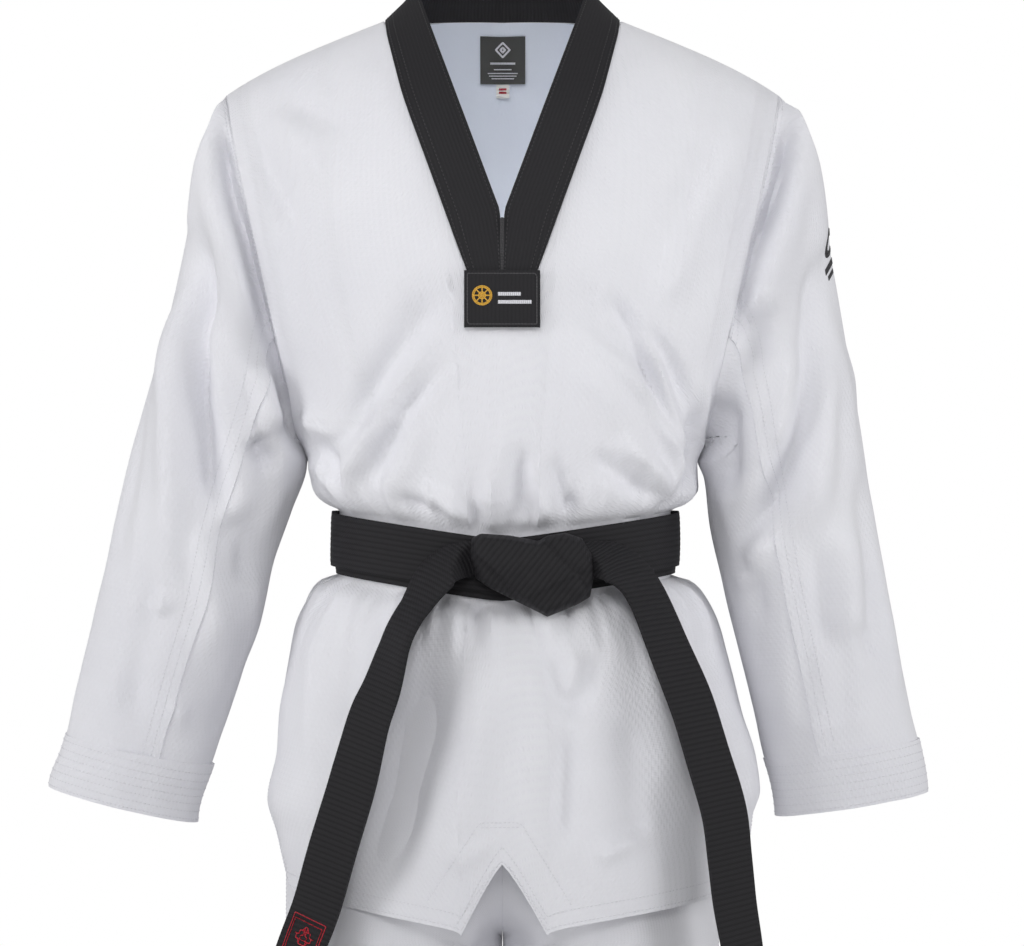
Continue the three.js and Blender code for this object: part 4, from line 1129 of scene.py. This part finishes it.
def belt_point(angle, height, lift):
    cosine, sine = np.cos(np.radians(angle)), np.sin(np.radians(angle))
    depth = np.where(cosine >= 0, WAIST_FRONT, WAIST_BACK) + lift
    half = np.where(sine >= 0, WAIST_LEFT, WAIST_RIGHT) + lift
    z = belt_line(angle) + height
    return np.stack(np.broadcast_arrays(half * power(sine), -depth * power(cosine), z), -1)


def belt_turn(turn_name, middle, lift, seed):
    angles = np.linspace(0, 360, 180, endpoint=False)[:, None]
    across = np.linspace(0.5, -0.5, 42)[None]
    grid = belt_point(angles, middle + across * BELT_WIDTH, lift)
    # Ten sewn channels, and edges a little softer than the middle.
    quilt = 0.22 * np.abs(np.cos(across * 10 * np.pi)) - 0.5 * np.abs(across * 2) ** 8
    ease = rumple(grid, (60, 60, 30), seed) * 0.5
    grid = raised(grid, quilt + ease, closed=True)
    sewn_sheet(f"{turn_name}_webbing", grid, BELT - TURN_GAP, BELT_CLOTH, "belt_webbing", turn_name,
               closed=True)


BELT_FRONT = 2 * TURN_GAP + 2 * BELT
belt_turn("belt_inner_turn", -BELT_STAGGER / 2, TURN_GAP + BELT, 5)
belt_turn("belt_outer_turn", BELT_STAGGER / 2, BELT_FRONT, 8)
TAIL_FREE = 80  # past this far from the middle a tail no longer follows the body's curve


def tail_rest(x, z):
    """The front of whatever a tail hangs over: the belt, or the skirt below it."""
    reach = np.abs(x)
    held = np.sign(x) * np.where(reach < TAIL_FREE, reach, lerp(TAIL_FREE, reach, 0.55))
    half = np.where(x >= 0, WAIST_LEFT, WAIST_RIGHT) + BELT_FRONT
    on_belt = belt_point(angle_of(held, half), 0, BELT_FRONT)[..., 1]
    skirt = on_body(held, np.maximum(z, HEM_Z), 0)[..., 1]
    return np.where(z > WAIST_Z - WAIST_DIP, on_belt, np.minimum(on_belt, skirt))


def strap(name, middle, seen_width, seed):
    """A belt end: middle is its line of [x, height] and seen_width how wide it looks from the front;
    where it looks narrow it has turned on edge, with the edge near the middle of the body forward."""
    line = spaced(smooth_line(middle, 10), 3.5)[0]
    along = lengths(line)
    share = along / along[-1]
    shown = np.interp(share, *zip(*seen_width)) / BELT_WIDTH
    turned = np.arccos(np.clip(shown, 0, 0.995))
    flat = unit(np.gradient(line, axis=0))
    across = np.stack([-flat[:, 1], flat[:, 0]], -1)
    # across points towards +X where the strap runs down
    forward = -np.sign(line[-1, 0]) * np.sin(turned)
    rest = tail_rest(line[:, 0], line[:, 1]) - 1.2 - TAIL_WALL
    y = rest - np.abs(forward) * BELT_WIDTH / 2
    y = np.minimum(y, lerp(TAIL_START, y, smoothstep(share, 0, 0.14)))
    kernel = np.hanning(15) / np.hanning(15).sum()
    y = np.convolve(np.pad(y, 7, mode="edge"), kernel, "valid")
    rows = []
    sign = 1 if across[len(across) // 2, 0] > 0 else -1
    for w in np.linspace(-0.5, 0.5, 22):
        x = line[:, 0] + sign * across[:, 0] * w * BELT_WIDTH * shown
        z = line[:, 1] + sign * across[:, 1] * w * BELT_WIDTH * shown
        rows.append(np.stack([x, y - forward * w * BELT_WIDTH, z], -1))
    grid = np.stack(rows)
    w = np.linspace(-1, 1, 22)[:, None]
    grid = raised(grid, -0.6 * np.abs(w) ** 8 + rumple(grid, (40, 40, 60), seed) * 0.8)
    # Its first end lies flat inside the knot.
    furthest = lerp(TAIL_START, TAIL_START - 34, smoothstep(share, 0.055, 0.15))
    grid[:, :, 1] = np.maximum(grid[:, :, 1], np.where(share < 0.15, furthest, -999))
    piece = cloth(f"{name}_webbing", grid, TAIL_WALL, BELT_CLOTH)
    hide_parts(name)
    cut(grid)
    return piece, grid


RIGHT_TAIL = [(2, -411), (-12, -410), (-28, -411), (-42, -416), (-54, -427), (-65, -443), (-79, -467),
              (-91, -506), (-101, -533), (-113, -580), (-126, -623), (-139, -669), (-151, -701), (-164, -741)]
LEFT_TAIL = [(42, -410), (54, -409), (72, -411), (91, -417), (108, -436), (127, -480), (142, -517),
             (154, -555), (167, -600), (172, -637), (176, -671), (181, -701), (186, -733)]
RIGHT_WIDTHS = [(0, 17), (0.07, 27), (0.16, 26), (0.22, 20), (0.3, 21), (0.42, 30), (0.55, 35), (1, 37)]
LEFT_WIDTHS = [(0, 17), (0.09, 29), (0.17, 27), (0.28, 30), (0.6, 34), (0.8, 33), (1, 30)]
TAIL_START, TAIL_WALL = -108, 3.4
right_tail, right_grid = strap("belt_tail_right", RIGHT_TAIL, RIGHT_WIDTHS, 61)
left_tail, left_grid = strap("belt_tail_left", LEFT_TAIL, LEFT_WIDTHS, 67)


def on_grid(grid, across, along, lift):
    """Points on a strap's grid: across in millimetres from its middle, along from its top end."""
    middle = grid[len(grid) // 2]
    down = lengths(middle)
    row = np.interp(along, down, np.arange(len(down)))
    column = (np.asarray(across) / BELT_WIDTH + 0.5) * (len(grid) - 1)
    normals = grid_normals(grid)
    at = lambda values: np.array([values[int(round(c)), int(round(r))] for c, r in zip(column, row)])
    return at(grid) + at(normals) * lift, at(normals)


# The box sewn on the end of the right tail: its frame, a lozenge and bars. BOX_TOP is a share of the tail.
BOX_TOP, BOX_HALF, BOX_HEIGHT = 0.845, 14, 41
frame_lines = []
for inset in (0, 0.8, 1.6):
    w, top, foot = BOX_HALF - inset, inset, BOX_HEIGHT - inset
    frame_lines.append([(-w, top), (w, top), (w, foot), (-w, foot), (-w, top)])
for size in (8.0, 7.2, 4.0, 3.2):
    frame_lines.append([(0, 14 - size), (size, 14), (0, 14 + size), (-size, 14), (0, 14 - size)])
for height, half in ((27, 9), (28, 9), (29, 9), (33, 7), (34, 7)):
    frame_lines.append([(-half, height), (half, height)])
box_start = BOX_TOP * lengths(right_grid[len(right_grid) // 2])[-1]
box_lines = []
for outline in frame_lines:
    flat = spaced(np.array(outline, float), 1.0)[0]
    box_lines.append(stitch_line(*on_grid(right_grid, flat[:, 0], box_start + flat[:, 1], 0.15), 1.5))
sewing("belt_end_box_embroidery", box_lines, RED_THREAD, "red_thread", "right_tail", ["belt_end_box"],
       length=1.9, width=0.9, height=0.6)
for name, grid in (("right", right_grid), ("left", left_grid)):
    sewing(f"belt_tail_{name}_stitching", [edge_stitches(grid, d) for d in (3, 9)], BLACK_THREAD,
           "belt_webbing", f"{name}_tail", width=0.7)
# Each tail's transform is baked into its mesh.
for piece, body in ((right_tail, "right_tail"), (left_tail, "left_tail")):
    top = Vector((0, -0.115, -0.408))
    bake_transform(piece)
    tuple(top)

# ---------------------------------------------------------------- knot
KNOT_OUTLINE = [(-23, -396), (-16, -392.5), (6, -394), (27, -398), (34, -394), (48, -392), (60, -396),
                (67, -408), (69, -424), (66, -440), (56, -446), (45, -450.5), (34, -455), (20, -448),
                (6, -441), (-10, -433), (-20, -426), (-24, -410)]
KNOT_BACK, KNOT_FRONT, KNOT_SLANT = -102.8, -127.0, math.radians(38)


def knot():
    """The pressed knot: three layers of strap folded over each other, as one closed pad."""
    outline = np.array(KNOT_OUTLINE[::-1], float)
    ring = spaced(np.vstack([outline, outline[:1]]), 1.9)[0][:-1]
    centre = np.array([22.0, -420.0])
    shares = np.concatenate([[1, 1], 1 - np.linspace(0, 1, 34)[1:] ** 1.2])
    x = lerp(centre[0], ring[:, :1], shares[None])
    z = lerp(centre[1], ring[:, 1:], shares[None])
    dome = np.clip(1 - shares, 0, 1)[None] * 31
    round_edge = np.sqrt(1 - (1 - np.clip(dome / 7, 0, 1)) ** 2)
    height = 0.3 + 0.52 * round_edge + 0.18 * smoothstep(dome, 0, 30)

    def side_of(a, b):
        """Distance in front of the line from a to b, positive on its left."""
        d = np.array(b) - np.array(a)
        return ((x - a[0]) * -d[1] + (z - a[1]) * d[0]) / math.hypot(*d)

    over = smoothstep(side_of((-24, -404), (32, -456)), -2.4, 2.4)
    tucked = smoothstep(side_of((28, -393), (64, -432)), -1.6, 1.6)
    folded = smoothstep(side_of((8, -446), (66, -418)), -1.5, 1.5)
    layers = 3.4 * over - 3.0 * tucked - 1.6 * (1 - folded) * over
    soft = rumple(np.stack([x, x * 0, z], -1), (16, 16, 12), 3) * 1.1
    y = lerp(KNOT_BACK, KNOT_FRONT, height) - (layers + soft) * smoothstep(dome, 0, 4)
    y[:, 0] = KNOT_BACK
    columns, rows = x.shape
    points = np.stack([x, y, z], -1).reshape(-1, 3)
    at = np.arange(columns * rows).reshape(columns, rows)
    at = np.vstack([at, at[:1]])
    quads = np.stack([at[:-1, :-2], at[1:, :-2], at[1:, 1:-1], at[:-1, 1:-1]], -1).reshape(-1, 4)
    tip, heart = len(points), len(points) + 1
    middles = [[centre[0], depth, centre[1]] for depth in (y[:, -1].mean(), KNOT_BACK)]
    points = np.vstack([points, middles])
    faces = quads.tolist()
    for a, b in zip(at[:-1], at[1:]):
        faces.append((int(a[-2]), int(b[-2]), tip))
        faces.append((int(b[0]), int(a[0]), heart))
    # The sewn rows run across the knot at a slant.
    px, pz, cosine, sine = points[:, 0], points[:, 2], math.cos(KNOT_SLANT), math.sin(KNOT_SLANT)
    uv = np.stack([px * sine + pz * cosine, px * cosine - pz * sine], -1)
    used = np.unique(np.concatenate([np.array(f) for f in faces]))
    renumber = {int(k): i for i, k in enumerate(used)}
    faces = [tuple(renumber[int(k)] for k in f) for f in faces]
    mesh = mesh_from("belt_knot_folds", points[used], faces, uv[used], 40)
    return link("belt_knot_folds", mesh, BELT_CLOTH)


knot_piece = knot()
placed(knot_piece, "garment", "belt_webbing", "belt_knot")

# ---------------------------------------------------------------- sleeve emblem
left_side = SLEEVES[0]


def on_sleeve(side, share, angle, lift):
    """A point on the finished sleeve, found from outside it."""
    start, end = side.point(share, angle, 40), side.point(share, angle, -25)
    place, normal, _, _ = side.tree.ray_cast(Vector(start * MM), Vector(end - start).normalized())
    normal = np.array(normal)
    return np.array(place) / MM + normal * lift, normal


EMBLEM_SHARE, EMBLEM_ANGLE = 0.19, -11
SLEEVE_LENGTH, MM_PER_DEGREE = 555, 1.15
turn = np.linspace(math.radians(40), math.radians(320), 26)
mark_lines = [np.stack([radius * np.cos(turn), 10 + radius * np.sin(turn)], -1)
              for radius in np.arange(5.5, 9.6, 0.7)]
for half, low, high in ((9, 24, 28.5), (6, 32, 35.5)):
    mark_lines += [np.array([(-half, height), (half, height)]) for height in np.arange(low, high, 0.7)]
emblem_lines = []
for outline in mark_lines:
    flat = spaced(outline, 1.2)[0]
    laid = [on_sleeve(left_side, EMBLEM_SHARE + v / SLEEVE_LENGTH, EMBLEM_ANGLE + u / MM_PER_DEGREE, 0.2)
            for u, v in flat]
    emblem_lines.append(stitch_line(np.array([p for p, _ in laid]), np.array([n for _, n in laid]), 1.4))
emblem = stitches("sleeve_emblem_embroidery", emblem_lines, BLACK_THREAD, length=1.8, width=0.9, height=0.6)
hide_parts("sleeve_emblem")
bends_at_armhole(emblem, left_side)

# ---------------------------------------------------------------- trousers
SEAM = 0.06
TROUSER_HIP_HALF, TROUSER_HIP_DEPTH = 169, 104
RISE_TOP_Z, WAISTBAND_HEIGHT = -385, 38
CROTCH_Z, CROTCH_CURVE = -705, 115
LEG_HEM_Z, LEG_HEM_OUTER, LEG_HEM_INNER, LEG_HEM_DEPTH, LEG_BAND = -1375, 186, 16, 72, 40
WAIST_SIDE = WAIST_RIGHT - CLOTH - 0.65

leg_inner = lambda z: LEG_HEM_INNER * np.clip((CROTCH_Z - z) / (CROTCH_Z - LEG_HEM_Z), 0, 1)
trouser_half = profile([
    (RISE_TOP_Z, WAIST_SIDE), (RISE_TOP_Z - WAISTBAND_HEIGHT, WAIST_SIDE), (-500, 156.5), (-560, 166.4),
    (-620, TROUSER_HIP_HALF), (CROTCH_Z, TROUSER_HIP_HALF), (-900, 175.8), (LEG_HEM_Z, LEG_HEM_OUTER)])


def trouser_depth(waist):
    return profile([
        (RISE_TOP_Z, waist), (-446, waist), (-500, lerp(waist, TROUSER_HIP_DEPTH, 0.75)),
        (-560, TROUSER_HIP_DEPTH), (-620, TROUSER_HIP_DEPTH), (CROTCH_Z, TROUSER_HIP_DEPTH - 6),
        (-900, lerp(TROUSER_HIP_DEPTH, LEG_HEM_DEPTH, 0.45)), (LEG_HEM_Z, LEG_HEM_DEPTH)])


trouser_front = trouser_depth(WAIST_FRONT - CLOTH - 2.2)
trouser_back = trouser_depth(WAIST_BACK - CLOTH - 0.65)


def trouser_point(share, z, facing, sign, turned=None):
    """share runs from the side seam (0) to the rise and inseam (1) round one front or back panel."""
    share, z = np.broadcast_arrays(np.asarray(share, float), np.asarray(z, float))
    below = np.clip((CROTCH_Z + CROTCH_CURVE - z) / CROTCH_CURVE, 0, 1)
    inseam = 90 + np.degrees(np.arcsin(below))
    angle = inseam * share if turned is None else turned + 0 * share
    side, inner = trouser_half(z), leg_inner(z)
    radius = (side - inner) / (1 - np.cos(np.radians(inseam)))
    depth = trouser_front(z) if facing < 0 else trouser_back(z)
    x = side - radius + radius * np.cos(np.radians(angle)) + SEAM / 2
    y = facing * (depth * np.sin(np.radians(angle)) + SEAM / 2)
    return np.stack(np.broadcast_arrays(sign * np.maximum(x, SEAM / 2), y, z), -1)


def leg_strokes(sign, facing):
    """Soft folds that hang from the crotch, and the break at the knee."""
    near = lambda points: [(sign * x, z) for x, z in points]
    crease = 6.0 if facing < 0 else 3.0
    return [
        (near([(6, -640), (18, -760), (30, -880)]), 14, -5.0, 0.3, 0.25),
        (near([(16, -690), (44, -740), (90, -770)]), 12, -5.0, 0.3, 0.3),
        (near([(26, -660), (40, -740), (52, -860)]), 14, 5.0, 0.3, 0.3),
        (near([(96, -640), (104, -780), (98, -1000), (92, -1300)]), 15, crease, 0.2, 0.2),
        (near([(60, -900), (62, -1060), (50, -1250)]), 18, -5.0, 0.2, 0.3),
        (near([(140, -700), (146, -860), (150, -1100)]), 18, -5.0, 0.2, 0.3),
        (near([(40, -985), (90, -1000), (150, -980)]), 16, -4.0 * -facing, 0.2, 0.3),
        (near([(50, -1040), (100, -1030), (160, -1050)]), 14, 4.0, 0.2, 0.3),
        (near([(60, -1200), (120, -1215), (170, -1190)]), 14, -3.0, 0.2, 0.3),
        (near([(120, -1100), (128, -1220), (120, -1330)]), 16, 5.0, 0.2, 0.3),
    ]


leg_end = LEG_HEM_Z + LEG_BAND
for name, sign in (("left", 1), ("right", -1)):
    z = np.concatenate([np.linspace(-423.5, -700, 44), np.linspace(-700, leg_end + SEAM, 84)[1:]])
    shares = np.linspace(0, 1, 56)
    for side_name, facing in (("front", -1), ("back", 1)):
        grid = trouser_point(shares[:, None], z[None], facing, sign)
        order = slice(None, None, -1) if sign * facing < 0 else slice(None)
        grid = plain = grid[order]
        shown = smoothstep(-grid[..., 2], 560, 690)
        seams = (np.sin(np.pi * shares[order]) ** 0.4)[:, None]
        ends = 1 - smoothstep(-grid[..., 2], 1290, 1334)
        pulled = 1.5 * folds(grid[..., 0], grid[..., 2], leg_strokes(sign, facing))
        soft = rumple(grid, (60, 60, 150), 71 + sign + facing) * 3.4
        grid = raised(grid, (pulled + soft) * shown * seams * ends)
        grid[..., 0] = sign * np.maximum(sign * grid[..., 0], SEAM / 2)
        edge = 2 if sign * facing > 0 else len(grid) - 3
        rows = [column_stitches(grid, edge), edge_stitches(grid, 4, last=False)]
        panel_name = f"{name}_trouser_{side_name}"
        sewn_sheet(f"{panel_name}_cloth", grid, CLOTH, TROUSER_CLOTH, "cotton_cloth", panel_name,
                   plain, white_rows(rows))
    # The hem band is one ring: its front half turns from 180 to 0 degrees and its back half back.
    band_z = np.linspace(leg_end, LEG_HEM_Z, 12)
    halves = []
    for facing, turned in ((-1, np.linspace(180, 0, 60, endpoint=False)),
                           (1, np.linspace(0, 180, 60, endpoint=False))):
        half = trouser_point(0, band_z[None], facing, sign, turned[:, None])
        half[..., 1] -= facing * SEAM / 2
        halves.append(half)
    grid = np.concatenate(halves)[::sign]
    rows = [edge_stitches(grid, d, closed=True) for d in (3, 10, 17, 24, 31, 37)]
    sewn_sheet(f"{name}_leg_hem_cloth", grid, BAND, TROUSER_CLOTH, "cotton_cloth", f"{name}_leg_hem_band",
               rows=white_rows(rows), closed=True)


def waist_ring(lift, top, height, rows):
    """A ring round the top of the trousers; angle 0 is the middle of the front."""
    angle = np.linspace(0, 360, 200, endpoint=False)[:, None]
    cosine = np.cos(np.radians(angle))
    depth = np.where(cosine >= 0, trouser_front(RISE_TOP_Z), trouser_back(RISE_TOP_Z)) + lift
    x = (WAIST_SIDE + lift) * np.sin(np.radians(angle))
    z = np.linspace(top, top - height, rows)[None]
    return np.stack(np.broadcast_arrays(x, -depth * cosine, z), -1)


waist = waist_ring(0, RISE_TOP_Z, WAISTBAND_HEIGHT, 18)
rows = [edge_stitches(waist, d, closed=True) for d in (3, 13, 26, 35)]
waistband = sewn_sheet("waistband_cloth", waist, CLOTH, TROUSER_CLOTH, "cotton_cloth", "waistband",
                       rows=white_rows(rows), closed=True)
inner_ring = waist_ring(-CLOTH - 0.9, RISE_TOP_Z - 6, WAISTBAND_HEIGHT - 12, 10)
turn = np.linspace(0, 2 * math.pi, 200, endpoint=False)[:, None]
crimped = raised(inner_ring, 0.35 * np.sin(turn * 60) - 0.35, closed=True)
sewn_sheet("waist_elastic_band", crimped, 1.0, ELASTIC_CLOTH, "white_trim", "waist_elastic",
           inner_ring, closed=True)

BRASS, _ = new_material("lacquered_brass", Base_Color=linear("#B8995A"), Metallic=1.0, Roughness=0.32)
EYELET_RADIUS, EYELET_RIM = 4.0, 1.4
for name, x in (("left", 18), ("right", -18)):
    depth = trouser_front(RISE_TOP_Z) * math.sqrt(1 - (x / WAIST_SIDE) ** 2)
    around = np.linspace(0, 2 * math.pi, 40, endpoint=False)[:, None]
    roll = np.linspace(0, 2 * math.pi, 13)[None]
    radius = EYELET_RADIUS + EYELET_RIM * np.cos(roll)
    height = 0.55 * np.sin(roll)
    ring_grid = np.stack(np.broadcast_arrays(
        x + radius * np.cos(around), -depth - 1.1 - height, RISE_TOP_Z - 19 + radius * np.sin(around)), -1)
    at = np.pad(np.arange(40 * 12).reshape(40, 12), (0, 1), mode="wrap")
    faces = np.stack([at[:-1, :-1], at[:-1, 1:], at[1:, 1:], at[1:, :-1]], -1).reshape(-1, 4)
    mesh = mesh_from(f"{name}_eyelet", ring_grid[:, :12].reshape(-1, 3), faces.tolist(), sharp=60)
    placed(link(f"{name}_eyelet_ring", mesh, BRASS), "garment", "eyelet_brass", f"{name}_drawstring_eyelet")

# ---------------------------------------------------------------- stage
def area_light(name, place, aim, size, power_w, spread=180):
    """A white soft box that faces the aim."""
    data = bpy.data.lights.new(name, "AREA")
    data.shape = "RECTANGLE"
    data.size, data.size_y = size
    data.energy = power_w
    data.spread = math.radians(spread)
    lamp = bpy.data.objects.new(name, data)
    lamp.location = place
    lamp.rotation_euler = (Vector(aim) - Vector(place)).to_track_quat("-Z", "Y").to_euler()
    bpy.context.scene.collection.objects.link(lamp)


area_light("key", (-1.0, -2.2, 1.3), (0, -0.1, -0.15), (1.0, 1.0), 0.9, spread=60)
area_light("left", (-2.4, -1.15, -0.3), (-0.15, 0, -0.45), (1.0, 1.8), 20)
area_light("right", (2.4, -1.15, -0.25), (0.15, 0, -0.45), (1.0, 1.8), 19)
area_light("top", (0, 0.2, 2.2), (0, 0, -0.3), (2.0, 1.2), 4.5)
area_light("front", (0, -2.7, 0.7), (0, 0, -0.1), (0.9, 0.9), 1.4, spread=40)
# The inside of the neck has its own small light, hidden behind the chest.
area_light("inside", (0, 0.0, -0.27), (0, 0.09, -0.03), (0.1, 0.05), 0.13)

# The world is white where the camera sees it, and lights the cloth more weakly.
WHITE, WORLD_LIGHT = (1, 1, 1, 1), 0.38
world = bpy.data.worlds.new("studio")
world.use_nodes = True
ray = node(world, "ShaderNodeLightPath")
seen = node(world, "ShaderNodeBackground", {"Color": WHITE, "Strength": 1.0})
lit = node(world, "ShaderNodeBackground", {"Color": WHITE, "Strength": WORLD_LIGHT})
mix = node(world, "ShaderNodeMixShader", {
    "Fac": ray.outputs["Is Camera Ray"], 1: lit.outputs["Background"], 2: seen.outputs["Background"]})
joined(world, mix.outputs["Shader"], world.node_tree.nodes["World Output"].inputs["Surface"])
bpy.context.scene.world = world

floor_paint, _ = new_material("pale_studio_floor", Base_Color=linear("#F4F4F4"), Roughness=0.9)
FLOOR_HALF, FLOOR_Z = 2400, -1400
floor_corners = [(x * FLOOR_HALF, y * FLOOR_HALF, FLOOR_Z) for x, y in ((-1, -1), (1, -1), (1, 1), (-1, 1))]
floor = link("floor", mesh_from("floor", floor_corners, [(0, 1, 2, 3)]), floor_paint)
